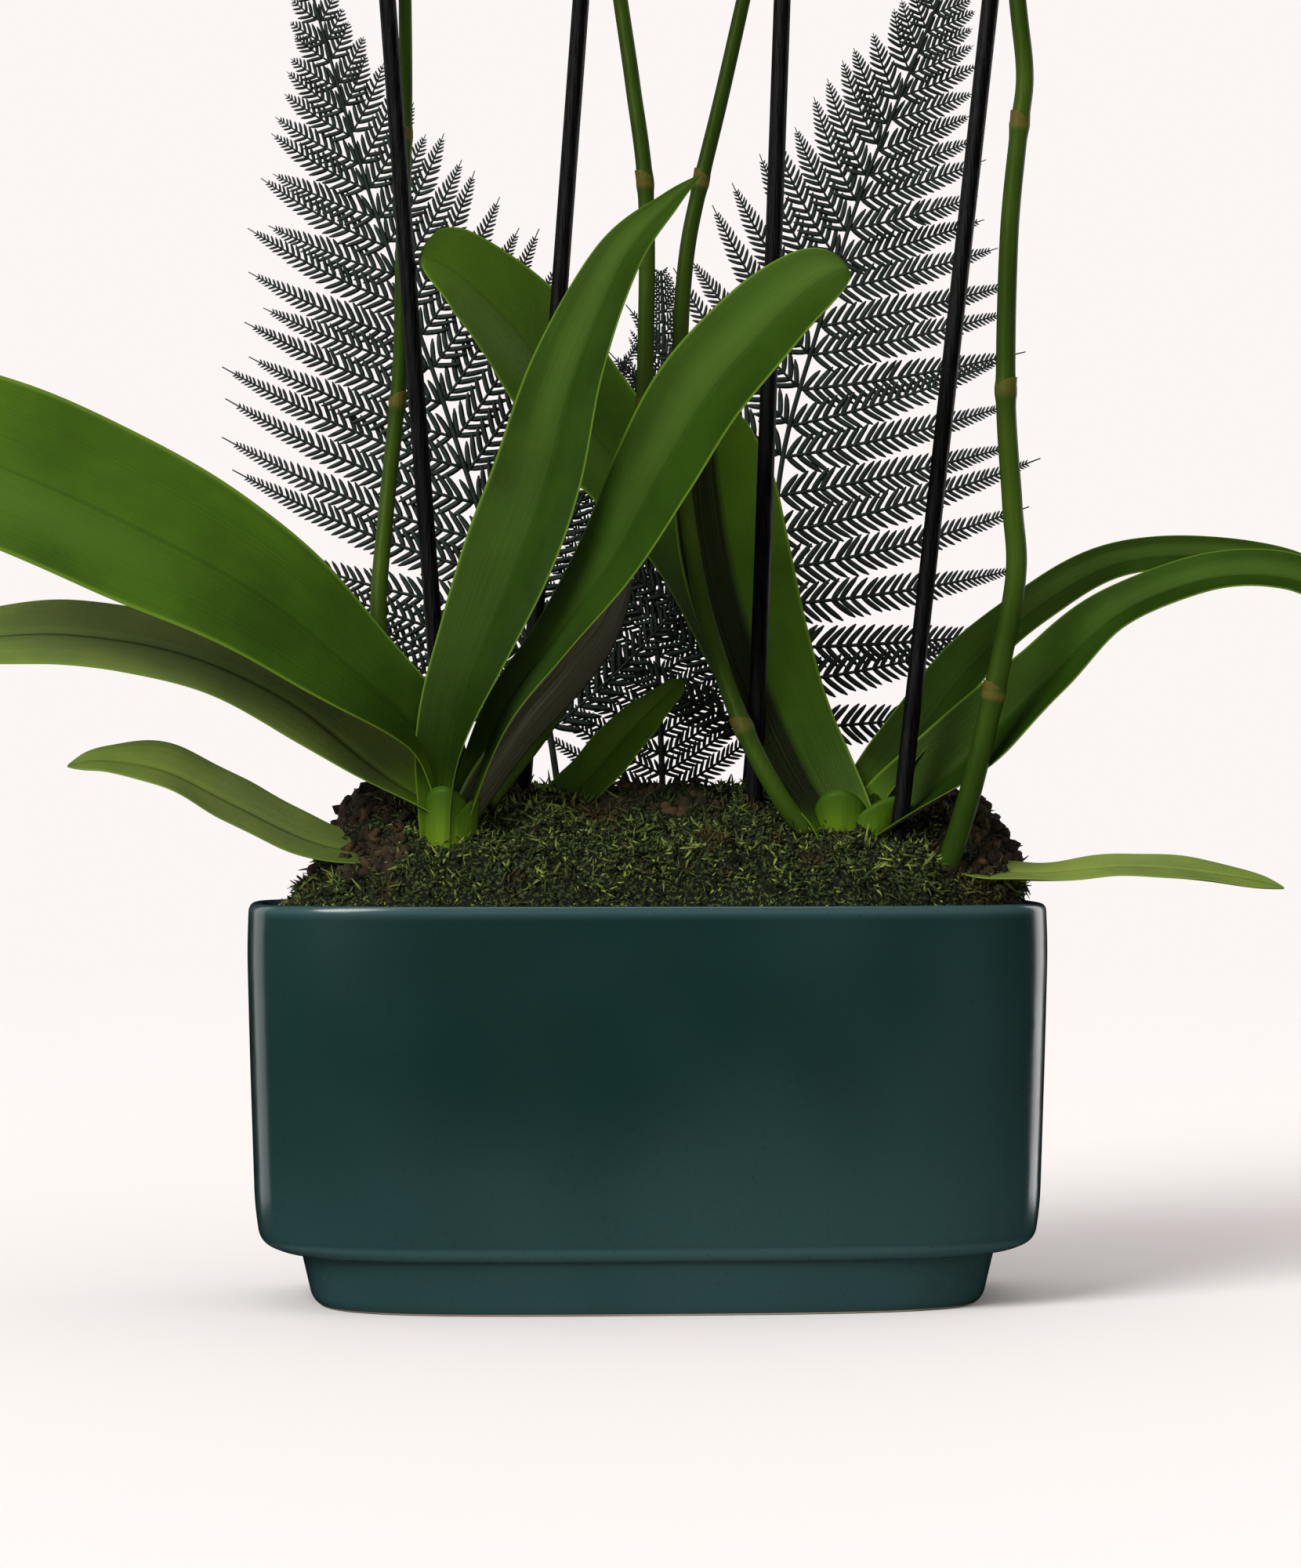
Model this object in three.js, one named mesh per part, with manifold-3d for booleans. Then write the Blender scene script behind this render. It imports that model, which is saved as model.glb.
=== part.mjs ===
// Two moth orchids and fern fronds planted in a low glazed planter, topped with moss.
// Millimetres, +Z up, +X along the planter's long side, +Y to its back.
// Origin: centre of the planter's flat underside.
import * as THREE from "three";
import { mergeVertices } from "three/addons/utils/BufferGeometryUtils.js";
import Module from "manifold-3d";

const wasm = await Module();
wasm.setup();

// ---- Driving dimensions ----

const PLANTER = {
  halfLength: 127,
  halfDepth: 63.5,
  height: 126,
  wall: 6,
  floor: 8,
  footHeight: 17.5,
  squareness: 3.6, // exponent of the plan's superellipse: 2 is an ellipse, higher is squarer
  footDepth: 0.3, // the outside's inset at front and back as a share of that at the ends
};
const MIX_TOP = 112;
const MOSS_INSET = 7.1; // from the planter's outline to the moss
// The moss mound, ring by ring: [height, share of the length, share of the depth, shift to the
// back, shift to the right]
const MOSS_RINGS = [
  [124, 1, 1, 0, 0],
  [127, 0.966, 0.97, 0, 3],
  [133, 0.93, 0.93, 0.5, 6],
  [142, 0.905, 0.84, 3, 8],
  [150, 0.88, 0.68, 7, 9],
  [156, 0.8, 0.45, 13, 8],
  [160, 0.6, 0.22, 18, 7],
];
const CLEARANCE = 0.35; // gap left between pieces that touch
const SMOOTHING = 0.05; // detail smaller than this is dropped from a finished piece
const PLANTING_TURN = THREE.MathUtils.degToRad(-4); // the planting stands turned in the planter

const FINISHES = {
  glaze: { color: 0x1c3734, roughness: 0.22 },
  bark: { color: 0x3a281a, roughness: 0.95 },
  moss: { color: 0x35451a, roughness: 0.95 },
  leaf: { color: 0x3c5c1c, roughness: 0.45 },
  stem: { color: 0x4a6426, roughness: 0.5 },
  stake: { color: 0x121213, roughness: 0.55 },
  clip: { color: 0x20241f, roughness: 0.5 },
  fern: { color: 0x1b2a20, roughness: 0.8 },
  petal: { color: 0xf2efe8, roughness: 0.6 },
};

// ---- Planting positions are written before the turn, as [across, back, up] ----

const placed = ([x, y, z]) =>
  new THREE.Vector3(x, y, z).applyAxisAngle(new THREE.Vector3(0, 0, 1), PLANTING_TURN);
const curveOf = (path) =>
  new THREE.CatmullRomCurve3(path.map(placed), false, "catmullrom", 0.5);
const lerp = THREE.MathUtils.lerp;

// ---- Solids ----

// A closed surface through rings of equal point count. Each ring runs anticlockwise
// about the way from the first ring to the last, and a fan closes each end.
function loft(rings) {
  const count = rings[0].length;
  const points = rings.flat();
  const mean = (ring) =>
    ring.reduce((sum, p) => sum.add(p), new THREE.Vector3()).divideScalar(count);
  const first = points.push(mean(rings[0])) - 1;
  const last = points.push(mean(rings.at(-1))) - 1;
  const faces = [];
  for (let i = 0; i < count; i++) {
    const j = (i + 1) % count;
    const end = (rings.length - 1) * count;
    for (let row = 0; row < end; row += count) {
      faces.push(row + i, row + j, row + count + j);
      faces.push(row + i, row + count + j, row + count + i);
    }
    faces.push(first, j, i);
    faces.push(last, end + i, end + j);
  }
  const geometry = new THREE.BufferGeometry().setFromPoints(points);
  geometry.setIndex(faces);
  return geometry;
}

function solidOf(geometry) {
  geometry.deleteAttribute("normal");
  geometry.deleteAttribute("uv");
  const merged = mergeVertices(geometry, 1e-4);
  return new wasm.Manifold(
    new wasm.Mesh({
      numProp: 3,
      vertProperties: merged.attributes.position.array,
      triVerts: new Uint32Array(merged.index.array),
    }),
  );
}

function geometryOf(solid) {
  const { numProp, vertProperties, triVerts } = solid.getMesh();
  const points = [];
  for (let i = 0; i < vertProperties.length; i += numProp)
    points.push(new THREE.Vector3().fromArray(vertProperties, i));
  const geometry = new THREE.BufferGeometry().setFromPoints(points);
  geometry.setIndex([...triVerts]);
  geometry.computeVertexNormals();
  return geometry;
}

const joined = (solids) => solids.reduce((whole, s) => whole.add(s));

// A round tube along a curve, its radius a function of the share of the way along.
function tube(curve, radiusAt, sides, steps) {
  const frames = curve.computeFrenetFrames(steps);
  const rings = [];
  for (let k = 0; k <= steps; k++) {
    const centre = curve.getPointAt(k / steps);
    const radius = radiusAt(k / steps);
    rings.push(
      Array.from({ length: sides }, (_, i) => {
        const angle = (2 * Math.PI * i) / sides;
        return centre
          .clone()
          .addScaledVector(frames.normals[k], radius * Math.cos(angle))
          .addScaledVector(frames.binormals[k], radius * Math.sin(angle));
      }),
    );
  }
  return solidOf(loft(rings));
}

// A leaf-like blade. faces gives the way its upper side looks, at the base and at the tip.
// The section is a shallow V: both halves rise by channel times the half width, which
// halfAt gives for a share of the way along.
const BLADE_SECTIONS = { leaf: [1, 0.5, 0, -0.5, -1], petal: [1, 0, -1] };
const EDGE_THINNING = 0.6; // how much thinner a blade's edge is than its midrib
const TIP_SHARE = 0.03; // share of the length over which the tip is thinner too

function blade(spec, grow = 0) {
  const { path, faces, channel, thick, steps = 8 } = spec;
  const section = BLADE_SECTIONS[spec.kind ?? "leaf"];
  const curve = spec.curve ?? curveOf(path);
  const [fromWay, toWay] = spec.curve ? faces : faces.map(placed);
  const halfAt = spec.halfAt ?? ((u) => leafHalf(path, curve, u));
  const rings = [];
  for (let k = 0; k <= steps; k++) {
    const u = lerp(0.999, 0.001, (1 - k / steps) ** 1.35); // closer rings towards the tip
    const centre = curve.getPointAt(u);
    const tangent = curve.getTangentAt(u);
    const up = fromWay.clone().lerp(toWay, u);
    up.addScaledVector(tangent, -up.dot(tangent)).normalize();
    const side = new THREE.Vector3().crossVectors(up, tangent);
    const width = halfAt(u) + grow;
    const sheet = (s, lift) =>
      centre
        .clone()
        .addScaledVector(side, s * width)
        .addScaledVector(up, channel * width * Math.abs(s) ** 1.5 + lift);
    const atTip = u > 1 - TIP_SHARE ? EDGE_THINNING : 1;
    const thickness = (s) => thick * (1 - EDGE_THINNING * s * s) * atTip;
    const upper = section.map((s) => sheet(s, thickness(s) / 2 + grow));
    const lower = section.map((s) => sheet(s, -thickness(s) / 2 - grow)).reverse();
    rings.push([...upper, ...lower]);
  }
  return solidOf(loft(rings));
}

const LEAF_TIP_FROM = 0.94; // share of the length where a leaf starts to round off
const LEAST_HALF_WIDTH = 1.2;

// Half width of a leaf: read between the stations of its path and rounded off at the tip.
function leafHalf(path, curve, u) {
  const along = curve.getUtoTmapping(u) * (path.length - 1);
  const station = Math.min(Math.floor(along), path.length - 2);
  const half = lerp(path[station][3], path[station + 1][3], along - station);
  const tip = Math.max(0, (u - LEAF_TIP_FROM) / (1 - LEAF_TIP_FROM));
  return Math.max(half * Math.sqrt(1 - tip * tip), LEAST_HALF_WIDTH);
}

// Half width of a petal as a share of its greatest: it swells from the base and rounds off
// at the tip.
function petalWidth(u) {
  const base = 0.15;
  const widest = 0.6;
  if (u < widest) return lerp(base, 1, Math.sin((Math.PI / 2) * (u / widest)));
  return Math.sqrt(Math.max(0.0004, 1 - ((u - widest) / (1 - widest)) ** 2.4));
}

// ---- Planter, potting mix and moss ----

// One plan ring of the planter: a superellipse drawn in from the widest outline, by inset at
// the ends and by deep at front and back.
function planRing(inset, z, count = 40, deep = inset) {
  const a = PLANTER.halfLength - inset;
  const b = PLANTER.halfDepth - deep;
  const power = 2 / PLANTER.squareness;
  return Array.from({ length: count }, (_, i) => {
    const angle = (2 * Math.PI * i) / count;
    const c = Math.cos(angle);
    const s = Math.sin(angle);
    const x = a * Math.sign(c) * Math.abs(c) ** power;
    const y = b * Math.sign(s) * Math.abs(s) ** power;
    return new THREE.Vector3(x, y, z);
  });
}

function makePlanter() {
  const { height, wall, floor, footHeight, footDepth } = PLANTER;
  const lip = wall / 2;
  // [inset from the widest outline, height]
  const outside = [
    [24, 0],
    [21.5, 1.2],
    [20.2, 4],
    [18, footHeight],
    [12, footHeight + 0.8],
    [6, footHeight + 4],
    [3.8, footHeight + 10],
    [0.6, height * 0.75],
    [0, height - 7],
  ];
  const lipAndInside = [
    [0.6, height - 2.4],
    [lip - 0.6, height],
    [lip + 1.4, height],
    [wall, height - 3],
    [wall + 0.6, height * 0.6],
    [wall + 4, footHeight + 12],
    [wall + 16, floor + 4],
    [wall + 22, floor],
  ];
  return solidOf(
    loft([
      ...outside.map(([inset, z]) => planRing(inset, z, 40, inset * footDepth)),
      ...lipAndInside.map(([inset, z]) => planRing(inset, z)),
    ]),
  );
}

function makeMix() {
  const { wall, floor, footHeight, height } = PLANTER;
  const profile = [
    [wall + 23, floor + 0.5],
    [wall + 17.2, floor + 4.5],
    [wall + 5.2, footHeight + 12.5],
    [wall + 1.6, height * 0.6],
    [wall + 1.4, MIX_TOP],
  ];
  return solidOf(loft(profile.map(([inset, z]) => planRing(inset, z))));
}

function makeMoss() {
  const rings = MOSS_RINGS.map(([z, long, deep, back, right]) =>
    planRing(MOSS_INSET, z, 32).map(
      (p) => new THREE.Vector3(p.x * long + right, p.y * deep + back, z),
    ),
  );
  return solidOf(loft([planRing(MOSS_INSET + 0.5, MIX_TOP + CLEARANCE, 32), ...rings]));
}

// ---- Orchid crowns, leaves, stakes, flower stems and flowers ----

const CROWNS = {
  crown_left: { foot: [-62, -34, 116], head: [-61, -34, 162], across: 9, deep: 8.5 },
  crown_right: { foot: [63, -20, 116], head: [63, -18, 166], across: 11, deep: 10.5 },
};

function makeCrown({ foot, head, across, deep }, grow = 0) {
  const spread = [0.8, 1, 1, 1.05, 0.85, 0.3]; // plump at mid height, closing at the head
  const from = placed(foot);
  const to = placed(head);
  const rings = spread.map((share, k) => {
    const centre = from.clone().lerp(to, k / (spread.length - 1));
    return Array.from({ length: 12 }, (_, i) => {
      const angle = (Math.PI * i) / 6;
      const x = (across * share + grow) * Math.cos(angle);
      const y = (deep * share + grow) * Math.sin(angle);
      return centre.clone().add(new THREE.Vector3(x, y, 0));
    });
  });
  return solidOf(loft(rings));
}

// The path runs up the midrib from base to tip, each station as [across, back, up, half width].
const LEAF_THICKNESS = 2.2;
const LEAVES = {
  leaf_left_broad: {
    path: [
      [-61, -32, 152, 5.5], [-69, -34, 177, 11], [-93, -43, 200, 20], [-122, -49, 223, 27],
      [-163, -56, 245, 31], [-204, -61, 263, 30], [-238, -63, 275, 24], [-262, -62, 282, 8],
    ],
    faces: [[0.5, -0.75, 0.6], [0.25, -0.88, 0.45]],
    channel: 0.12,
  },
  leaf_left_low: {
    path: [
      [-63, -30, 153, 8], [-85, -29, 168, 15], [-112, -30, 189, 19], [-145, -32, 204, 22],
      [-180, -34, 210, 23], [-208, -35, 209, 21], [-230, -35, 206, 14], [-246, -34, 202, 5],
    ],
    faces: [[0.3, -0.5, 0.8], [0, -0.42, 0.91]],
    channel: 0.05,
  },
  leaf_left_small: {
    path: [
      [-66, -28, 142, 7], [-84, -27, 141, 9], [-105, -29, 145, 13], [-130, -33, 157, 16],
      [-150, -37, 167, 16], [-167, -40, 170, 10], [-180, -42, 169, 3],
    ],
    faces: [[0.2, -0.5, 0.85], [0, -0.4, 0.92]],
    channel: 0.16,
  },
  leaf_left_upright: {
    path: [
      [-62, -34, 139, 5], [-62, -36, 158, 6.5], [-60, -39, 177, 10], [-54, -41, 198, 14],
      [-41, -42, 229, 19], [-31, -43, 256, 19], [-22, -45, 290, 15.5], [-7, -47, 325, 11],
      [8, -48, 343, 5], [17, -49, 352, 2],
    ],
    faces: [[-0.5, -0.8, 0.3], [-0.55, -0.7, 0.45]],
    channel: 0.3,
  },
  leaf_left_round: {
    path: [
      [-58, -32, 148, 5], [-45, -40, 184, 7], [-27, -48, 209, 10], [-9, -54, 234, 15],
      [5, -59, 259, 19], [20, -65, 283, 21], [38, -71, 303, 19], [52, -75, 315, 15],
      [62, -76, 320, 12],
    ],
    faces: [[-0.6, -0.7, 0.3], [-0.55, -0.72, 0.5]],
    channel: 0.22,
  },
  leaf_left_folded: {
    path: [
      [-61, -33, 142, 5], [-51, -28, 158, 9], [-38, -21, 176, 13.5], [-22, -12, 194, 16],
      [-12, -7, 208, 15.5], [-6, -1, 226, 12], [-5, 3, 241, 4],
    ],
    faces: [[-0.7, -0.2, 0.6], [-0.7, -0.2, 0.6]],
    channel: 0.95,
  },
  leaf_left_short: {
    path: [
      [-44, -12, 146, 5], [-33, -4, 152, 7], [-19, 1, 164, 8.5], [-4, 6, 181, 8],
      [12, 12, 197, 3],
    ],
    faces: [[-0.3, -0.8, 0.4], [-0.3, -0.8, 0.4]],
    channel: 0.2,
  },
  leaf_right_back: {
    path: [
      [60, -6, 156, 9], [44, 12, 172, 14], [31, 22, 202, 16], [15, 25, 235, 18],
      [-5, 23, 262, 22], [-24, 18, 285, 25.5], [-42, 10, 309, 24.5], [-59, 2, 325, 20],
      [-72, -5, 332, 15],
    ],
    faces: [[0.6, -0.7, 0.3], [0.4, -0.7, 0.6]],
    channel: 0.16,
  },
  leaf_right_upright: {
    path: [
      [62, -21, 138, 9], [60, -20, 150, 11], [50, -12, 169, 15], [38, -3, 198, 17.5],
      [29, 4, 228, 19.5], [24, 7, 257, 18.5], [22, 6, 275, 12.5], [20, 3, 286, 6],
    ],
    faces: [[0.35, -0.9, 0.25], [0.35, -0.88, 0.3]],
    channel: 0.2,
  },
  leaf_right_arching: {
    path: [
      [66, -14, 148, 8], [83, -3, 174, 10], [104, 7, 201, 10], [126, 13, 220, 9],
      [151, 15, 234, 8.5], [180, 14, 237, 7.5], [206, 12, 234, 7], [226, 5, 225, 3],
    ],
    faces: [[-0.55, -0.75, 0.4], [0.15, -0.55, 0.8]],
    channel: 0.3,
  },
  leaf_right_front: {
    path: [
      [67, -19, 143, 8.5], [87, -19, 158, 15], [107, -21, 176, 18], [127, -25, 196, 15.5],
      [148, -30, 216, 12.5], [175, -36, 227, 10.5], [200, -40, 227, 11.5],
      [217, -42, 218, 8], [230, -43, 207, 3],
    ],
    faces: [[-0.6, -0.55, 0.6], [0.15, -0.5, 0.85]],
    channel: 0.3,
  },
  leaf_right_low: {
    path: [
      [78, -18, 150, 6], [92, -23, 138, 9], [120, -29, 135, 9.5], [150, -33, 137, 10],
      [176, -37, 135, 10], [199, -40, 131, 3],
    ],
    faces: [[0, -0.3, 0.95], [0, -0.3, 0.95]],
    channel: 0.15,
  },
};

const STAKE_RADIUS = 2.7;
const STAKES = {
  stake_left: [[-56.3, -8, 62], [-85.8, -8, 462]],
  stake_mid_left: [[-46.9, 6, 62], [-17.4, 6, 462]],
  stake_mid_right: [[31, -14, 62], [45, -14, 462]],
  stake_right: [[70, -28, 62], [114, -28, 462]],
};

const makeStake = ([foot, top], grow = 0) =>
  tube(curveOf([foot, top]), () => STAKE_RADIUS + grow, 8, 1);

const STEM_SIDES = 6;
const STEM_STEPS = 22;
// A flower stem's path, and its flowers as [joint on the path, centre of the flower].
const SPIKES = {
  spike_left: {
    path: [
      [-66, -22, 158], [-80, -14, 188], [-85, -8, 216], [-83, -1, 251], [-79, 2, 293],
      [-78, 2, 331], [-77, 2, 376], [-77, 0, 413], [-78, 0, 452], [-84, -4, 490],
      [-97, -20, 520], [-113, -46, 534], [-129, -74, 528], [-141, -98, 508],
    ],
    radius: 2.9,
    flowers: [
      [9, [-116, -26, 486]],
      [10, [-72, -38, 533]],
      [11, [-136, -68, 553]],
      [12, [-104, -94, 515]],
    ],
  },
  spike_mid_left: {
    path: [
      [-50, -24, 158], [-28, 0, 189], [-12, -2, 226], [-2, -10, 263], [0, -12, 304],
      [0, -12, 351], [-4, -8, 385], [-8, -4, 413], [-12, -4, 440], [-18, -6, 490],
      [-24, -8, 545], [-31, -16, 590], [-40, -38, 620], [-50, -66, 628], [-59, -94, 612],
      [-65, -114, 584],
    ],
    radius: 3.1,
    flowers: [
      [10, [-58, -24, 556]],
      [11, [2, -34, 592]],
      [12, [-66, -62, 634]],
      [13, [-24, -96, 634]],
    ],
  },
  spike_mid_right: {
    path: [
      [51, -26, 148], [42, -26, 160], [31, -22, 181], [20, -12, 213], [14, -4, 243],
      [11, -4, 273], [11, -4, 305], [13, -6, 332], [17, -6, 353], [24, -6, 382],
      [31, -6, 413], [37, -7, 440], [44, -8, 480], [52, -14, 520], [62, -34, 548],
      [74, -62, 554], [85, -90, 538], [93, -110, 512],
    ],
    radius: 3.1,
    flowers: [
      [12, [12, -26, 500]],
      [13, [86, -30, 526]],
      [14, [34, -56, 566]],
      [15, [106, -82, 566]],
    ],
  },
  spike_right: {
    path: [
      [91, -31, 130], [96, -34, 143], [102, -38, 164], [108, -40, 190], [115, -42, 227],
      [114, -42, 251], [112, -42, 285], [113, -42, 333], [116, -42, 366], [118, -41, 384],
      [116, -40, 406], [113, -38, 440], [115, -36, 490], [122, -36, 540], [133, -44, 580],
      [148, -64, 600], [164, -90, 596], [178, -112, 574],
    ],
    radius: 3.6,
    flowers: [
      [13, [154, -50, 544]],
      [14, [108, -66, 596]],
      [15, [180, -80, 618]],
      [16, [146, -116, 580]],
    ],
  },
};
const STALK_RADIUS = 1.3;
const BUD_COUNT = 4;
const BUDS_FROM = 0.93; // share of the stem below the first bud
const BUD_SIZES = [5.5, 3.5]; // radius of the first bud and of the last
const FLOWER_BACK = 7; // from a flower's centre back to the head of its stalk

// The way a flower looks: forwards, a little down and outwards from the planting's middle.
const flowerWay = ([x]) => placed([x * 0.004, -1, -0.12]).normalize();

function makeSpike({ path, radius, flowers }, grow = 0) {
  const curve = curveOf(path);
  const last = path.length - 1;
  const stem = tube(curve, (u) => radius * lerp(1, 0.5, u) + grow, STEM_SIDES, STEM_STEPS);
  const stalks = flowers.map(([joint, centre]) => {
    const head = placed(centre).addScaledVector(flowerWay(centre), -FLOWER_BACK);
    const root = curve.getPoint(joint / last);
    const bend = root.clone().lerp(head, 0.55).add(new THREE.Vector3(0, 4, 3));
    return tube(new THREE.CatmullRomCurve3([root, bend, head]), () => STALK_RADIUS + grow, 4, 3);
  });
  const buds = Array.from({ length: BUD_COUNT }, (_, k) => {
    const share = k / (BUD_COUNT - 1);
    const size = lerp(...BUD_SIZES, share);
    const side = placed([k % 2 ? 0.75 : -0.75, -0.35, -0.3]);
    const centre = curve.getPointAt(lerp(BUDS_FROM, 1, share)).addScaledVector(side, size);
    const bud = new THREE.SphereGeometry(size + grow, 6, 4);
    bud.scale(0.9, 0.9, 1.2).translate(...centre);
    return solidOf(bud);
  });
  return joined([stem, ...stalks, ...buds]);
}

// Flower parts in the flower's own frame: +X to its right, +Y up, +Z the way it looks.
// way is the angle of the part about +Z, back is how far its tip bends backwards.
const FLOWER_PARTS = [
  { way: 90, length: 30, half: 9, back: -4 },
  { way: 214, length: 29, half: 9, back: -4 },
  { way: 326, length: 29, half: 9, back: -4 },
  { way: 14, length: 32, half: 16, back: -1, lift: 2.8 },
  { way: 166, length: 32, half: 16, back: -1, lift: 2.8 },
];

const PETAL_SHAPE = { kind: "petal", channel: 0.06, thick: 1.6, steps: 3 };

// The lip hangs forwards below the centre. Its rings are [half width, reach to the front].
const LIP_RINGS = [[3, 2.5], [5, 8], [1.6, 13]];
const LIP_SIDES = 5;
const LIP_DROP = 0.8; // fall of the lip for each millimetre of its reach

function makeFlower([, centre], grow = 0) {
  const parts = FLOWER_PARTS.map(({ way, length, half, back, lift = 0 }) => {
    const angle = THREE.MathUtils.degToRad(way);
    const at = (share, z) =>
      new THREE.Vector3(Math.cos(angle), Math.sin(angle), 0)
        .multiplyScalar(length * share)
        .setZ(lift + z);
    const curve = new THREE.CatmullRomCurve3([at(0.05, -1), at(0.5, 1), at(1, back)]);
    const look = new THREE.Vector3(0, 0, 1);
    const halfAt = (u) => half * petalWidth(u);
    return blade({ ...PETAL_SHAPE, curve, faces: [look, look], halfAt }, grow);
  });
  const lip = solidOf(
    loft(
      LIP_RINGS.map(([half, reach]) =>
        Array.from({ length: LIP_SIDES }, (_, i) => {
          const angle = (2 * Math.PI * i) / LIP_SIDES;
          const y = -reach * LIP_DROP + half * 0.5 * Math.sin(angle);
          return new THREE.Vector3(half * Math.cos(angle), y, reach);
        }),
      ),
    ),
  );
  const column = new THREE.CylinderGeometry(2, 2.6, 11, 5).rotateX(Math.PI / 2);
  const flower = joined([...parts, lip, solidOf(column)]);
  const look = flowerWay(centre);
  const right = new THREE.Vector3(0, 0, 1).cross(look).normalize();
  const up = new THREE.Vector3().crossVectors(look, right);
  const toPlace = new THREE.Matrix4().makeBasis(right, up, look).setPosition(placed(centre));
  return flower.transform(toPlace.elements);
}

// A clip that holds a flower stem to its stake: a short oblong collar around both.
const CLIP_HEIGHT = 440;
const CLIP_DEPTH = 5;
const CLIP_WALL = 2.2;
const CLIPS = {
  clip_left: [[-84.2, -8], [-77.7, 0]],
  clip_mid_left: [[-19, 6], [-12, -4]],
  clip_mid_right: [[44.2, -14], [37, -7]],
  clip_right: [[111.6, -28], [113, -38]],
};

function makeClip([stake, stem]) {
  const margin = STAKE_RADIUS + CLIP_WALL;
  const [from, to] = [stake, stem].map(([x, y]) => placed([x, y, 0]));
  const heading = Math.atan2(to.y - from.y, to.x - from.x);
  const outline = new THREE.Shape();
  outline.absarc(to.x, to.y, margin, heading - Math.PI / 2, heading + Math.PI / 2);
  outline.absarc(from.x, from.y, margin, heading + Math.PI / 2, heading + 1.5 * Math.PI);
  const collar = new THREE.ExtrudeGeometry(outline, {
    depth: CLIP_DEPTH,
    curveSegments: 5,
    bevelEnabled: false,
  }).translate(0, 0, CLIP_HEIGHT - CLIP_DEPTH / 2);
  return solidOf(collar);
}

// ---- Fern fronds ----

// Each side of a frond has side branches of a greatest length, reach, that slant from
// the axis by the first angle at the lowest branch and the second at the tip.
const FRONDS = {
  frond_left: {
    path: [
      [-23, 30, 120], [-34, 36, 194], [-47, 40, 230], [-60, 42, 269],
      [-71, 42, 302], [-90, 40, 355], [-105, 36, 407], [-113, 32, 436],
    ],
    left: { reach: 76, slant: [72, 45] },
    right: { reach: 64, slant: [72, 50] },
    pairs: 18,
  },
  frond_right: {
    path: [
      [29, 32, 120], [36, 38, 202], [41, 42, 240], [46, 44, 276],
      [56, 44, 311], [70, 42, 356], [87, 38, 398], [103, 32, 438],
    ],
    left: { reach: 72, slant: [60, 38] },
    right: { reach: 90, slant: [66, 52] },
    pairs: 18,
  },
  frond_middle: {
    path: [[7, 38, 120], [4, 46, 202], [2, 52, 241], [4, 56, 277], [6, 58, 308], [5, 57, 334]],
    left: { reach: 40, slant: [70, 45] },
    right: { reach: 40, slant: [70, 45] },
    pairs: 12,
  },
};
const BRANCHES_FROM = 0.22; // share of the axis below the first side branch
const LONGEST_AT = 0.3; // where the longest side branch is, from the lowest one to the tip
const BRANCHES_CROWD = 0.85; // below 1, the side branches stand closer towards the tip
const BRANCH_HALF_WIDTHS = [1, 4.4]; // of the smallest side branch and of the widest
const FROND_THICKNESS = 1.6;

// Length of a side branch as a share of the longest, from the lowest one to the tip.
const branchLength = (share) =>
  share < LONGEST_AT
    ? lerp(0.5, 1, share / LONGEST_AT)
    : lerp(0.06, 1, ((1 - share) / (1 - LONGEST_AT)) ** 1.25);

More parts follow.
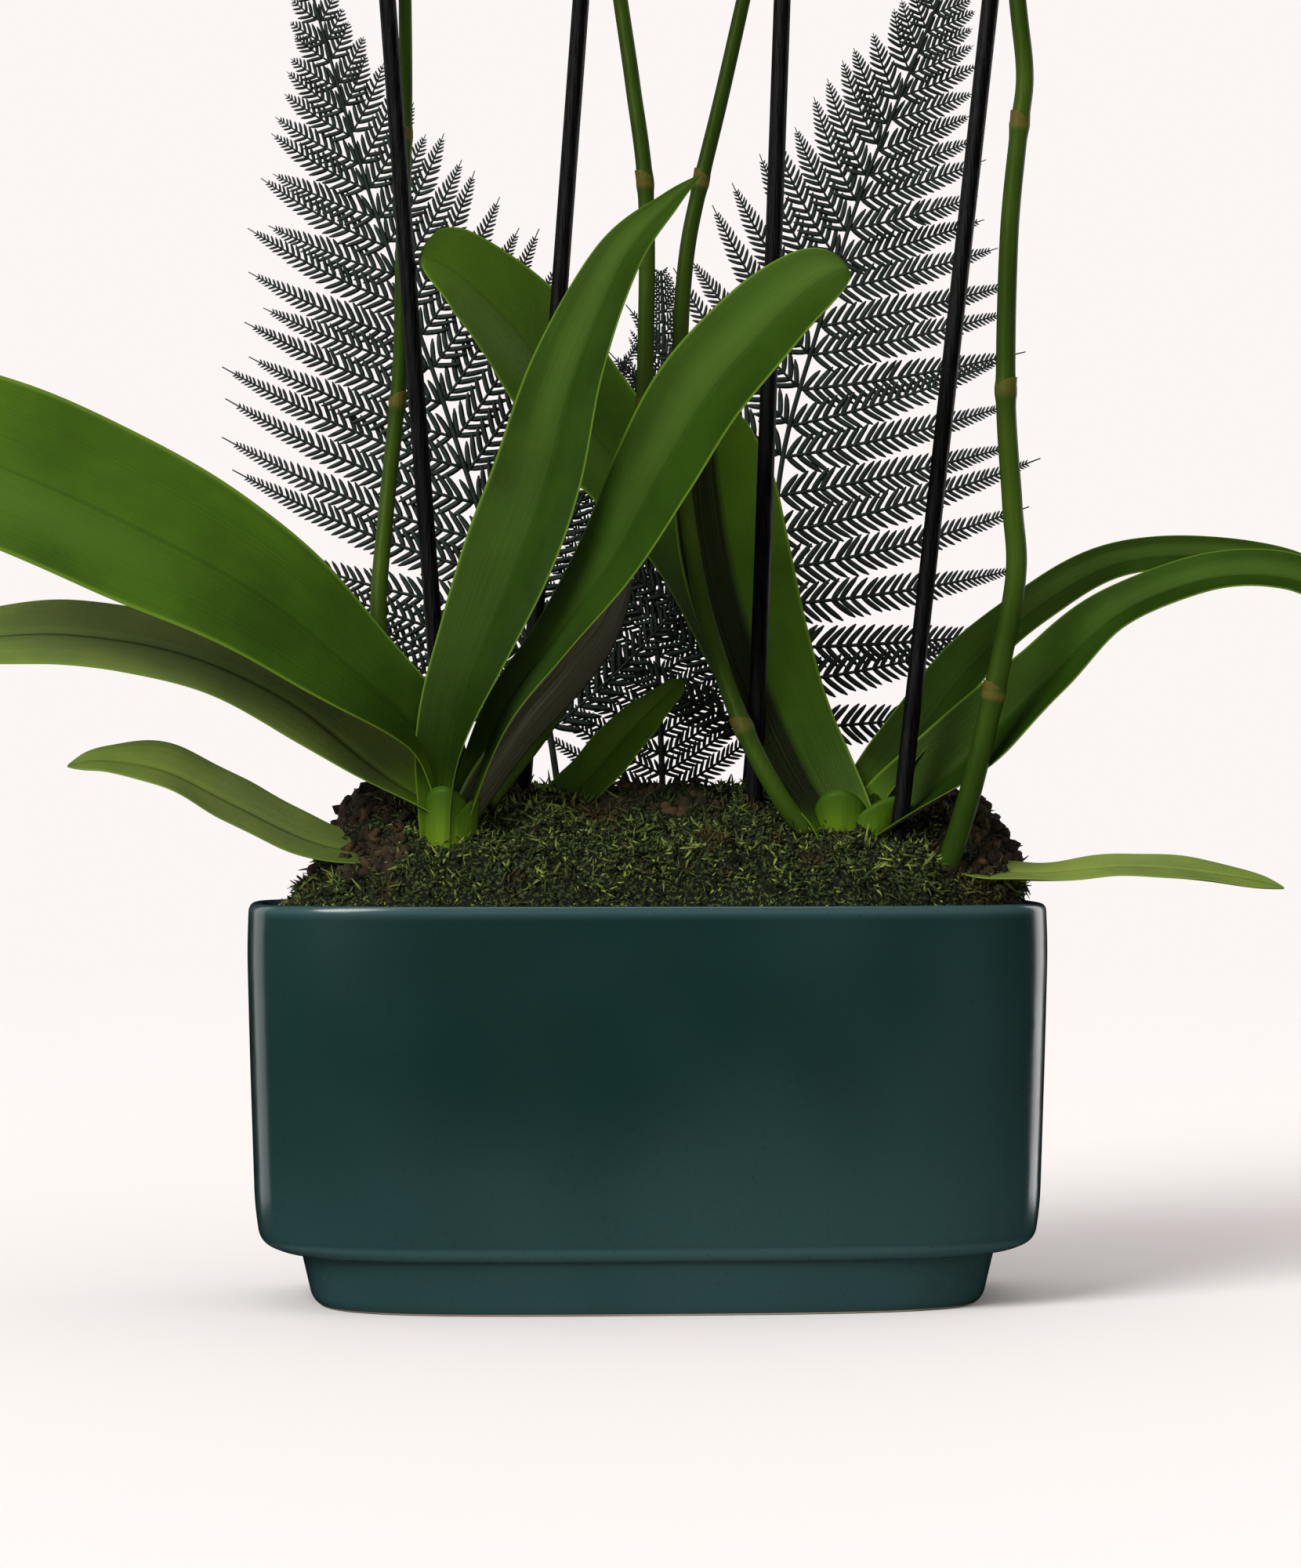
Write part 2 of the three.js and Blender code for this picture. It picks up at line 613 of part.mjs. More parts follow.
function makeFrond({ path, left, right, pairs }, grow = 0) {
  const curve = curveOf(path);
  const length = curve.getLength();
  if (grow) return tube(curve, () => FROND_THICKNESS * 1.4 + grow, STEM_SIDES, 12);
  const front = placed([0, -1, 0]);
  // A point of the frond: along is measured up the axis, across out from it, both in
  // the flat frame that the axis has at its share u.
  const pointAt = (u, along, across) => {
    const tangent = curve.getTangentAt(u);
    const aside = new THREE.Vector3().crossVectors(front, tangent).normalize();
    const at = curve.getPointAt(u);
    at.addScaledVector(tangent, along).addScaledVector(aside, across);
    const out = new THREE.Vector3().crossVectors(tangent, aside);
    return { flat: new THREE.Vector2(u * length + along, across), at, out };
  };
  // One edge of the frond from foot to tip: the bare stalk, then its side branches.
  const edge = (side) => {
    const { reach, slant } = side > 0 ? left : right;
    const axisHalf = (u) => side * FROND_THICKNESS * lerp(0.9, 0.4, u);
    const stalk = [0, 0.08, 0.16].map((u) => pointAt(u, 0, axisHalf(u)));
    const branches = Array.from({ length: pairs }, (_, k) => {
      const share = (k / pairs) ** BRANCHES_CROWD;
      const u = lerp(BRANCHES_FROM, 0.99, share);
      const size = reach * branchLength(share);
      const angle = THREE.MathUtils.degToRad(lerp(...slant, share));
      const [narrow, wide] = BRANCH_HALF_WIDTHS;
      const half = Math.min(wide, narrow + size * 0.07);
      const shape = [[0, -half * 0.6], [0.35, -half], [1, 0], [0.35, half], [0, half * 0.6]];
      return shape.map(([out, off]) => {
        const along = out * size * Math.cos(angle) + off * Math.sin(angle);
        const across = out * size * Math.sin(angle) - off * Math.cos(angle);
        return pointAt(u, out ? along : off, out ? side * across : axisHalf(u));
      });
    });
    return [...stalk, ...branches.flat()];
  };
  const outline = [...edge(-1), pointAt(1, 0, 0), ...edge(1).reverse()];
  const count = outline.length;
  const lifted = (lift) => outline.map(({ at, out }) => at.clone().addScaledVector(out, lift));
  const points = [...lifted(FROND_THICKNESS / 2), ...lifted(-FROND_THICKNESS / 2)];
  const faces = [];
  const addFlat = (a, b, c) => faces.push(a, b, c, count + a, count + c, count + b);
  // The flat faces stay small: three on each side branch and a strip along the axis.
  const roots = [0, 1, 2];
  for (let k = 0; k < pairs; k++) {
    const root = 3 + 5 * k;
    for (const [a, b, c] of [[0, 1, 3], [0, 3, 4], [1, 2, 3]]) {
      addFlat(root + a, root + b, root + c);
      addFlat(count - 1 - root - a, count - 1 - root - c, count - 1 - root - b);
    }
    roots.push(root, root + 4);
  }
  roots.slice(1).forEach((i, k) => {
    addFlat(roots[k], i, count - 1 - i);
    addFlat(roots[k], count - 1 - i, count - 1 - roots[k]);
  });
  const last = roots.at(-1);
  addFlat(last, last + 1, count - 1 - last);
  for (let i = 0; i < count; i++) {
    const j = (i + 1) % count;
    faces.push(i, count + i, count + j, i, count + j, j);
  }
  const geometry = new THREE.BufferGeometry().setFromPoints(points);
  geometry.setIndex(faces);
  return solidOf(geometry);
}

// ---- Assembly: each piece is cut clear of the pieces before it in this order ----

const pieces = [];
const addPiece = (name, finish, make) =>
  pieces.push({ name, finish, solid: make(0), cutter: () => make(CLEARANCE) });

addPiece("planter", FINISHES.glaze, makePlanter);
for (const [name, ends] of Object.entries(STAKES))
  addPiece(name, FINISHES.stake, (grow) => makeStake(ends, grow));
for (const [name, spec] of Object.entries(CROWNS))
  addPiece(name, FINISHES.stem, (grow) => makeCrown(spec, grow));
for (const [name, spec] of Object.entries(SPIKES))
  addPiece(name, FINISHES.stem, (grow) => makeSpike(spec, grow));
for (const [name, spec] of Object.entries(LEAVES))
  addPiece(name, FINISHES.leaf, (grow) => blade({ thick: LEAF_THICKNESS, ...spec }, grow));
for (const [name, ends] of Object.entries(CLIPS))
  addPiece(name, FINISHES.clip, () => makeClip(ends));
for (const [name, spec] of Object.entries(FRONDS))
  addPiece(name, FINISHES.fern, (grow) => makeFrond(spec, grow));
Object.values(SPIKES)
  .flatMap(({ flowers }) => flowers)
  .forEach((flower, i) =>
    addPiece(`flower_${i + 1}`, FINISHES.petal, (grow) => makeFlower(flower, grow)),
  );
addPiece("moss", FINISHES.moss, makeMoss);
addPiece("growing_mix", FINISHES.bark, makeMix);

const boxesMeet = (a, b) =>
  [0, 1, 2].every((i) => a.min[i] < b.max[i] + CLEARANCE && b.min[i] < a.max[i] + CLEARANCE);

const group = new THREE.Group();
pieces.forEach((piece, index) => {
  for (const earlier of pieces.slice(0, index))
    if (boxesMeet(piece.solid.boundingBox(), earlier.solid.boundingBox()))
      piece.solid = piece.solid.subtract(earlier.cutter());
  const bodies = piece.solid.decompose().sort((a, b) => b.volume() - a.volume());
  piece.solid = bodies[0].simplify(SMOOTHING);
  const material = new THREE.MeshStandardMaterial({ ...piece.finish, metalness: 0 });
  const mesh = new THREE.Mesh(geometryOf(piece.solid), material);
  mesh.name = piece.name;
  group.add(mesh);
});

export default group;
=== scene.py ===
"""Moth orchids and fern fronds planted in a low glazed planter, topped with moss.

Everything is worked out in millimetres and put into the meshes in metres. Planting positions
are [across, back, up] before the planting's small turn in its planter. Colours are written in
hexadecimal.
"""

import bpy
import numpy as np
from bpy.props import FloatProperty, FloatVectorProperty, IntProperty, PointerProperty
from bpy.types import Operator, Panel, PropertyGroup
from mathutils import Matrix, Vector


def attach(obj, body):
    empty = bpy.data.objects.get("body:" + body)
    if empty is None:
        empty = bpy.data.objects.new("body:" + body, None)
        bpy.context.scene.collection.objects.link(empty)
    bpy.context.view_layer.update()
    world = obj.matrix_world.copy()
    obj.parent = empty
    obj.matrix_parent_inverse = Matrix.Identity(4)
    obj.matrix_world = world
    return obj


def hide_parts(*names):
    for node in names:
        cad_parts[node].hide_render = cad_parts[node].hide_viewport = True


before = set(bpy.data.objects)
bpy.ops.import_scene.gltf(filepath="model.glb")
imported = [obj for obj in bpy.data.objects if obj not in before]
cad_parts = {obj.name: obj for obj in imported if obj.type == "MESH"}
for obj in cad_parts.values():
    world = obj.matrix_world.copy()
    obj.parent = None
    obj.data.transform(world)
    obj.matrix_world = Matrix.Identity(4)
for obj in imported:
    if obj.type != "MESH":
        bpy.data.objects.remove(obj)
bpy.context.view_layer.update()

bl_info = {
    "name": "Orchid and fern planting",
    "version": (1, 0, 0),
    "blender": (4, 5, 0),
    "location": "View3D > Sidebar > Planting",
    "description": "Builds a glazed planter with moss, moth orchids and fern fronds",
    "category": "Object",
}

MM = 0.001
TURN = np.radians(-4)  # of the planting in its planter
PLANTER_HALF = (127.0, 63.5)  # half the planter's length and half its depth
SQUARENESS = 3.6  # exponent of the planter's plan
WAVES = 10  # plane waves in each noise


# ---- Numbers and shapes ----


def linear(code):
    """A colour written as red, green and blue in hexadecimal, as the shader wants it."""
    share = np.array([int(code[i : i + 2], 16) for i in (0, 2, 4)]) / 255
    return tuple(np.where(share < 0.04045, share / 12.92, ((share + 0.055) / 1.055) ** 2.4))


def lerp(a, b, t):
    """The value at share t of the way from a to b."""
    return a + (b - a) * t


def ease(low, high, x):
    """Rises from 0 at low to 1 at high, level at both: 3t^2 - 2t^3 of the share t between."""
    t = np.clip((x - low) / (high - low), 0, 1)
    return t * t * (3 - 2 * t)


def bell(x, middle, width):
    """A bump of height 1: e to the minus square of the distance from middle over width."""
    return np.exp(-(((x - middle) / width) ** 2))


def unit(v):
    """Vectors over their own length."""
    return v / np.linalg.norm(v, axis=-1, keepdims=True)


def signed_power(v, power):
    """The size of v to a power, with the sign of v."""
    return np.sign(v) * np.abs(v) ** power


def joined(*values):
    """Arrays spread to one shape and set side by side as the last axis."""
    return np.stack(np.broadcast_arrays(*values), -1)


def turned(points):
    """Planting positions turned about the upright axis by TURN."""
    x, y, z = np.moveaxis(np.asarray(points, float), -1, 0)
    c, s = np.cos(TURN), np.sin(TURN)
    return np.stack([x * c - y * s, x * s + y * c, z], -1)


def waves(points, length, seed):
    """Smooth noise of about -1 to 1: the sum of plane waves of random direction and phase, 0.6
    to 1.6 times as long as length, times 0.8 over the root of their number."""
    random = np.random.default_rng(seed)
    ways = unit(random.normal(size=(WAVES, 3))) * 2 * np.pi
    ways = ways / (length * random.uniform(0.6, 1.6, (WAVES, 1)))
    phase = random.uniform(0, 2 * np.pi, WAVES)
    return np.sin(points @ ways.T + phase).sum(-1) / np.sqrt(WAVES) * 0.8


def run(line):
    """Length of a line of points from its start to each of them."""
    step = np.linalg.norm(np.diff(line, axis=0), axis=1)
    return np.concatenate([[0], np.cumsum(step)])


def spline(path, shares):
    """Points, with whatever values go with them, and unit tangents at shares of the length of
    a smooth curve through path, and that length.

    Between two neighbours it is the cubic whose slope at each end is half the step from
    the neighbour before that end to the neighbour after it."""
    path = np.asarray(path, float)
    last = len(path) - 1
    q = np.vstack([2 * path[0] - path[1], path, 2 * path[-1] - path[-2]])

    def at(t):
        i = np.clip(t.astype(int), 0, last - 1)
        f = (t - i)[..., None]
        a, b, c, d = q[i], q[i + 1], q[i + 2], q[i + 3]
        cubic = (2 * f**3 - 3 * f**2 + 1) * b + (3 * f**2 - 2 * f**3) * c
        return cubic + (f**3 - 2 * f**2 + f) * (c - a) / 2 + (f**3 - f**2) * (d - b) / 2

    fine = np.linspace(0, last, 40 * last + 1)
    length = run(at(fine)[:, :3])
    t = np.interp(np.asarray(shares, float) * length[-1], length, fine)
    ahead = at(np.minimum(t + 1e-3, last)) - at(np.maximum(t - 1e-3, 0))
    return at(t), unit(ahead[..., :3]), length[-1]


def rounded(corners, steps):
    """A line through corners [across, up, rounding], each corner between the ends replaced
    by the parabola that touches both sides at the rounding's distance from it."""
    corners = np.array(corners, float)
    points = corners[:, :2]
    sides = np.diff(points, axis=0)
    length = np.linalg.norm(sides, axis=1)
    way = sides / length[:, None]
    room = 0.49 * np.minimum(length[:-1], length[1:])
    reach = np.minimum(corners[1:-1, 2], room)[:, None, None]
    t = np.linspace(0, 1, steps)[None, :, None]
    corner = points[1:-1][:, None]
    before = corner - reach * way[:-1][:, None]
    after = corner + reach * way[1:][:, None]
    curve = before * (1 - t) ** 2 + 2 * corner * t * (1 - t) + after * t**2
    return np.vstack([points[:1], curve.reshape(-1, 2), points[-1:]])


def filled(line, gap):
    """The same line with extra points, so that no two are much more than gap apart."""
    length = run(line)
    extra = np.linspace(0, length[-1], int(length[-1] / gap))
    at = np.unique(np.concatenate([length, extra]).round(3))
    return joined(*[np.interp(at, length, values) for values in line.T])


def superellipse(a, b, power, count):
    """Evenly spaced points of |x/a|^power + |y/b|^power = 1, as shares of a and b."""
    angle = np.linspace(0, 2 * np.pi, 8001)
    xy = signed_power(joined(np.cos(angle), np.sin(angle)), 2 / power)
    length = run(xy * [a, b])
    at = np.arange(count) / count * length[-1]
    return joined(*[np.interp(at, length, values) for values in xy.T])


def circle(count):
    """Cosines and sines of count even angles."""
    angle = 2 * np.pi * np.arange(count) / count
    return np.cos(angle), np.sin(angle)


def with_values(rings, *values):
    """Rings of places with values set after each place, spread over the rings and points."""
    values = np.broadcast_arrays(rings[..., 0], *values)[1:]
    return np.concatenate([rings, joined(*values)], -1)


def skins(rings, ends=True):
    """Closed skins through rings, an array [skin, ring, point, value]. The first three values
    are a place and the rest go with it. Each ring runs anticlockwise about the way from
    the first ring to the last. A fan closes each end, or the last ring meets the first."""
    many, rows, count, values = rings.shape
    points = rings.reshape(many, rows * count, values)
    i = np.arange(count)
    j = (i + 1) % count
    row = np.arange(rows - 1 if ends else rows)[:, None] * count
    after = (row + count) % (rows * count)
    quads = joined(row + i, row + j, after + j, after + i).reshape(-1, 4)
    tris = np.zeros((0, 3), int)
    if ends:
        points = np.concatenate([points, rings[:, [0, -1]].mean(2)], 1)
        foot, head = rows * count, rows * count + 1
        top = (rows - 1) * count
        tris = np.vstack([joined(foot, j, i), joined(head, top + i, top + j)])
    shift = np.arange(many)[:, None, None] * points.shape[1]
    return points.reshape(-1, values), (quads + shift).reshape(-1, 4), (tris + shift).reshape(-1, 3)


def together(*parts):
    """Several skins as one."""
    points, *faces = zip(*parts)
    shifts = np.cumsum([0] + [len(p) for p in points[:-1]])
    return np.vstack(points), *[np.vstack([f + s for f, s in zip(kind, shifts)]) for kind in faces]


def tube(path, radii, sides, hint, *values):
    """A round skin along path [..., ring, 3]. hint is a direction never along the path, and
    values go with the rings. Each ring is centre + radius (cosine times across + sine times
    tangent x across)."""
    tangent = unit(np.gradient(path, axis=-2))
    across = unit(np.cross(tangent, np.broadcast_to(hint, path.shape)))
    other = np.cross(tangent, across)
    c, s = circle(sides)
    radii = np.broadcast_to(radii, path.shape[:-1])[..., None, None]
    offset = across[..., None, :] * c[:, None] + other[..., None, :] * s[:, None]
    rings = path[..., None, :] + radii * offset
    if values:
        rings = with_values(rings, *[np.asarray(value)[..., None] for value in values])
    return skins(rings.reshape((-1,) + rings.shape[-3:]))


def new_piece(name, skin, values, paint, nodes, turn=True):
    """Puts a skin into a new mesh object that rides with the planting and stands for nodes.
    values names what goes with each point, kept as attributes for the paint."""
    points, quads, tris = skin
    places = (turned(points[:, :3]) if turn else points[:, :3]) * MM
    mesh = bpy.data.meshes.new(name)
    mesh.from_pydata(places.tolist(), [], quads.tolist() + tris.tolist())
    mesh.polygons.foreach_set("use_smooth", np.ones(len(mesh.polygons), bool))
    for i, value in enumerate(values):
        attribute = mesh.attributes.new(value, "FLOAT", "POINT")
        attribute.data.foreach_set("value", np.ascontiguousarray(points[:, 3 + i], np.float32))
    mesh.materials.append(paint)
    mesh.update()
    piece = bpy.data.objects.new(name, mesh)
    bpy.context.scene.collection.objects.link(piece)
    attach(piece, "root")
    if nodes:
        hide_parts(*nodes)


# ---- Paint ----


class Paint:
    """A material whose nodes are added one call at a time. Inputs may be numbers, colours or
    the outputs of earlier calls."""

    def __init__(self, name):
        self.material = bpy.data.materials.new(name)
        self.material.use_nodes = True
        self.tree = self.material.node_tree
        self.shader = self.tree.nodes["Principled BSDF"]
        self.place = self.add("ShaderNodeTexCoord", output="Object")

    def set(self, node, inputs):
        for socket, value in inputs.items():
            if isinstance(value, bpy.types.NodeSocket):
                self.tree.links.new(value, node.inputs[socket])
            else:
                node.inputs[socket].default_value = value

    def add(self, kind, inputs=None, output=0, **settings):
        node = self.tree.nodes.new(kind)
        for key, value in settings.items():
            setattr(node, key, value)
        self.set(node, inputs or {})
        return node.outputs[output]

    def finish(self, colour, rough, normal=None, gloss=0.5, **more):
        """Sets the shader's own inputs. more names others, with _ for a space."""
        inputs = {"Base Color": colour, "Roughness": rough, "Specular IOR Level": gloss}
        if normal is not None:
            inputs["Normal"] = normal
        self.set(self.shader, {**inputs, **{key.replace("_", " "): v for key, v in more.items()}})
        return self.material

    def value(self, name):
        """One of the values that go with a piece's points."""
        return self.add("ShaderNodeAttribute", output="Fac", attribute_name=name)

    def grain(self, vector, scale, detail=2.0, rough=0.5):
        """Noise at a vector."""
        inputs = {"Vector": vector, "Scale": scale, "Detail": detail, "Roughness": rough}
        return self.add("ShaderNodeTexNoise", inputs)

    def noise(self, scale, detail=2.0, stretch=(1, 1, 1)):
        """Noise at the piece's own coordinates, each times its part of stretch."""
        at = self.add("ShaderNodeVectorMath", {0: self.place, 1: stretch}, operation="MULTIPLY")
        return self.grain(at, scale, detail, 0.55)

    def vector(self, x, y, z):
        return self.add("ShaderNodeCombineXYZ", {0: x, 1: y, 2: z})

    def math(self, kind, a, b=0.0):
        return self.add("ShaderNodeMath", {0: a, 1: b}, operation=kind)

    def times(self, a, b):
        return self.math("MULTIPLY", a, b)

    def between(self, value, low, high, least=0.0, most=1.0):
        """Goes smoothly from least to most as value goes from low to high."""
        inputs = {"Value": value, "From Min": low, "From Max": high, "To Min": least, "To Max": most}
        return self.add("ShaderNodeMapRange", inputs, interpolation_type="SMOOTHSTEP")

    def mix(self, share, a, b):
        """Goes from colour a to colour b with share."""
        inputs = {0: share}
        for socket, colour in ((6, a), (7, b)):
            if isinstance(colour, str):
                colour = linear(colour)
            fixed = not isinstance(colour, bpy.types.NodeSocket)
            inputs[socket] = (*colour, 1) if fixed else colour
        return self.add("ShaderNodeMix", inputs, 2, data_type="RGBA")

    def layer(self, colour, other, *rise):
        """Goes from a colour to another as between(*rise) goes from 0 to 1."""
        return self.mix(self.between(*rise), colour, other)

    def bump(self, height, distance, strength=1.0):
        inputs = {"Height": height, "Distance": distance, "Strength": strength}
        return self.add("ShaderNodeBump", inputs, output="Normal")


# ---- Settings that a user would change ----


def size_of(name, about, default, low=0.1, high=1000.0):
    return FloatProperty(name=name, description=about, default=default, min=low, max=high)


def count_of(name, about, default, low, high):
    return IntProperty(name=name, description=about, default=default, min=low, max=high)


def colour_of(name, about, code):
    return FloatVectorProperty(
        name=name, description=about, default=linear(code), size=3, min=0, max=1, subtype="COLOR"
    )


class PlanterSettings(PropertyGroup):
    half_length: size_of("Half length", "Half the planter's length, in millimetres", PLANTER_HALF[0])
    half_depth: size_of("Half depth", "Half the planter's depth, in millimetres", PLANTER_HALF[1])
    squareness: size_of("Squareness", "Exponent of the plan: 2 is an ellipse", SQUARENESS, 2, 12)
    glaze: colour_of("Glaze", "Colour of the glaze where it lies thick", "0d2422")
    # The thin glaze's colour also serves for the painted reflection of the floor low on the planter and
    # the painted highlight at the lip.
    thin_glaze_and_reflection: colour_of("Thin glaze", "Colour of the glaze where it thins", "31494b")


class MossSettings(PropertyGroup):
    strands: count_of("Strands", "Moss strands in each third", 11000, 100, 11000)
    longest: size_of("Longest strand", "Length of the longest strand, in millimetres", 2.9)
    dark: colour_of("Deep moss", "Colour of the moss in its depth", "100f06")
    green: colour_of("Green moss", "Colour of most strands", "33421a")
    fresh: colour_of("Fresh moss", "Colour of the freshest strands", "748238")


class LeafSettings(PropertyGroup):
    thickness: size_of("Thickness", "Thickness of a leaf at its midrib, in millimetres", 2.2)
    upper: colour_of("Upper side", "Colour of a leaf's upper side", "28400b")
    # A lighter copy of the leaf colour: painted light on the low leaves that face up.
    pale: colour_of("Paler leaves", "Colour of the upper side of the low leaves", "596a36")
    # A darker copy of the leaf colour: painted shade on the leaves that face the light most.
    deep: colour_of("Deeper leaves", "Colour of the upper side of the darkest leaves", "172803")
    # The rim colour is painted light caught at a leaf's thin edges.
    rim: colour_of("Rim", "Colour of a leaf's edge", "5f7d22")
    under: colour_of("Underside", "Colour of a leaf's underside", "2a2a22")


class StemSettings(PropertyGroup):
    green: colour_of("Stem", "Colour of the flower stems", "1e3008")
    ring: colour_of("Rings", "Colour of the rings and scales on the stems", "4a3f1c")
    crown: colour_of("Crown", "Colour of the leaf bases", "4f6a0c")


class FrondSettings(PropertyGroup):
    pairs: count_of("Branches", "Side branches on each side of a frond", 28, 4, 40)
    fullness: size_of("Fullness", "Length of the leaflets for the gap between branches", 0.68, 0.2, 1.2)
    green: colour_of("Frond", "Colour of the fronds", "18231c")


class FlowerSettings(PropertyGroup):
    petal: colour_of("Petal", "Colour of the petals", "f2efe8")
    lip: colour_of("Lip", "Colour of the flowers' lips", "c9557f")
    throat: colour_of("Throat", "Colour of the flowers' throats", "e0b52c")


class PlantingSettings(PropertyGroup):
    planter: PointerProperty(type=PlanterSettings)
    moss: PointerProperty(type=MossSettings)
    leaf: PointerProperty(type=LeafSettings)
    stem: PointerProperty(type=StemSettings)
    frond: PointerProperty(type=FrondSettings)
    flower: PointerProperty(type=FlowerSettings)


# ---- Planter ----

FOOT_RING = (22.4, 28.4)  # bare clay between these insets, under the foot
FOOT_DEPTH = 0.3  # the foot's inset at front and back as a share of that at the ends
# The planter's section as [inset from the widest outline, height, rounding]: from under
# the foot up the outside, over the lip and down the inside
PLANTER_SECTION = [
    [60, 1.6, 0], [29.4, 1.6, 0.8], [28.4, 0, 0.6], [22.4, 0, 1.8], [20.3, 2.4, 3], [17, 16.4, 1],
    [11, 16.9, 3], [4, 19.8, 6], [2.4, 31, 10], [0.9, 76, 30], [0, 112, 10], [0.5, 126, 3],
    [6, 126, 2.6], [6.9, 70, 12], [10.5, 29, 12], [24, 9.5, 8], [60, 8.4, 0],
]
SECTION_STEPS = 9  # points of each rounding
SECTION_GAP = 3  # between points along the section, at most
OUTLINE_POINTS = 288  # round the planter


def planter_skin(settings):
    """The section carried round the planter's outline: (half size - inset) times the superellipse's
    share, at the section's height, with a slight waviness above the foot. How far the glaze thins,
    which at the lip also stands for a painted highlight, and whether the clay is bare go with each
    point."""
    line = filled(rounded(PLANTER_SECTION, SECTION_STEPS), SECTION_GAP)
    inset, height = line.T[..., None]
    half = np.array([settings.half_length, settings.half_depth])
    x, y = superellipse(*half, settings.squareness, OUTLINE_POINTS).T
    outside = np.arange(len(line))[:, None] < np.argmax(height)
    deep = inset * np.where(outside, lerp(FOOT_DEPTH, 1, ease(30, 60, inset)), 1)
    # At the lip the glaze thins, and its paleness there is also a painted highlight on the rounded lip.
    lip = 1.25 * bell(height, 125.4, 2.4)
    step = 1.2 * bell(height, 18.8, 2.6)
    foot = 0.4 * bell(height, 2, 2)
    bare = (height < 0.3) & (inset > FOOT_RING[0]) & (inset < FOOT_RING[1])
    rings = joined((half[0] - inset) * x, (half[1] - deep) * y, height)
    rings[..., 1] += 0.18 * waves(rings, 70, 3) * ease(0.2, 12, height)
    return skins(with_values(rings, lip + outside * (step + foot), bare)[None])


def glaze_paint(settings):
    """Dark glaze with fine darker specks, a little paler in patches, paler towards the floor as a
    painted reflection of the floor, and palest where it thins at the lip and the step above the foot;
    at the lip that paleness is also a painted highlight. The clay under the foot is bare and dull."""
    paint = Paint("glaze")
    patch = paint.between(paint.noise(9), 0.35, 0.7)
    bare = paint.value("bare")
    height = paint.add("ShaderNodeSeparateXYZ", {0: paint.place}, output=2)
    # How far the glaze thins; at the lip this paleness also stands for a painted highlight.
    thin = paint.between(paint.value("edge"), 0.1, 1.1, 0, 0.75)
    # Painted reflection of the floor: the glaze turns paler over the lowest 80 mm.
    thin = paint.math("MAXIMUM", thin, paint.between(height, 0, 0.08, 0.3, 0))
    colour = paint.mix(paint.times(patch, 0.18), settings.glaze, settings.thin_glaze_and_reflection)
    colour = paint.mix(thin, colour, settings.thin_glaze_and_reflection)
    colour = paint.layer(colour, "0b1716", paint.noise(900), 0.62, 0.75, 0, 0.35)
    colour = paint.mix(bare, colour, "a8937a")
    rough = paint.between(paint.noise(30, 3), 0.3, 0.75, 0.16, 0.24)
    rough = paint.math("MAXIMUM", rough, paint.times(bare, 0.85))
    return paint.finish(colour, rough, paint.bump(paint.noise(120), 0.00005), 0.35)


class PLANTING_OT_planter(Operator):
    """Make the glazed planter"""

    bl_idname = "planting.planter"
    bl_label = "Planter"

    def execute(self, context):
        settings = context.scene.planting.planter
        skin, paint = planter_skin(settings), glaze_paint(settings)
        new_piece("glazed_planter", skin, ("edge", "bare"), paint, ["planter"], False)
        return {"FINISHED"}


# ---- Moss, bark and the mix below ----

MOSS_INSET = 7.1  # of the mound from the planter's outline
# The mound, ring by ring: [height, share of the length, share of the depth, shift to the
# back, shift to the right]
MOUND_RINGS = [
    [113, 1, 1, 0, 0], [122, 1, 1, 0, 0], [127, 0.966, 0.97, 0, 3], [133, 0.93, 0.93, 0.5, 6],
    [142, 0.905, 0.84, 3, 8], [150, 0.88, 0.68, 7, 9], [157, 0.84, 0.48, 12, 8],
    [161.5, 0.75, 0.25, 17, 7], [162.5, 0.4, 0.08, 20, 6],
]
MOUND_GRID = (56, 260)  # rings and points of each
OUTER_FROM = 8  # the first of the rings that show
MOUND_MIDDLE = 7  # to the right of the planter's middle
BARE_END = 86  # from this distance to the mound's middle on, bark shows high on the mound
GAP_MIDDLE = 2  # bark shows between the plants too, about here
THIRDS = (-37, 43)  # where the three pieces of moss strands meet
TUFT_SEED = 21
STRAND_SEED = 40
BARK_SEED = 77
CHIPS_TRIED, CHIPS_AT_ENDS, CHIPS_BETWEEN = 9000, 620, 110
SMALLEST_CHIP = [1.6, 1.2, 0.8]  # half the size
LARGEST_CHIP = [4.2, 2.8, 1.6]


def mound():
    """The moss mound as rings [ring, point, 3]: superellipses whose size, shift and height
    are read between MOUND_RINGS, moved up and out by noise that sets in at the lip."""
    table = np.array(MOUND_RINGS, float)
    at = np.linspace(0, len(table) - 1, MOUND_GRID[0])[:, None]
    height, long, deep, back, right = [np.interp(at, range(len(table)), v) for v in table.T]
    half = np.array(PLANTER_HALF) - MOSS_INSET
    x, y = (superellipse(*half, SQUARENESS, MOUND_GRID[1]) * half).T
    rings = joined(x * long + right, y * deep + back, height)
    lumps = 2.2 * waves(rings, 26, 11) + 1.2 * waves(rings, 9, 12)
    out = rings * [1, 1, 0] / np.linalg.norm(rings[..., :2], axis=-1, keepdims=True)
    return rings + (out * 0.5 + [0, 0, 0.8]) * (lumps * ease(121, 134, height))[..., None]


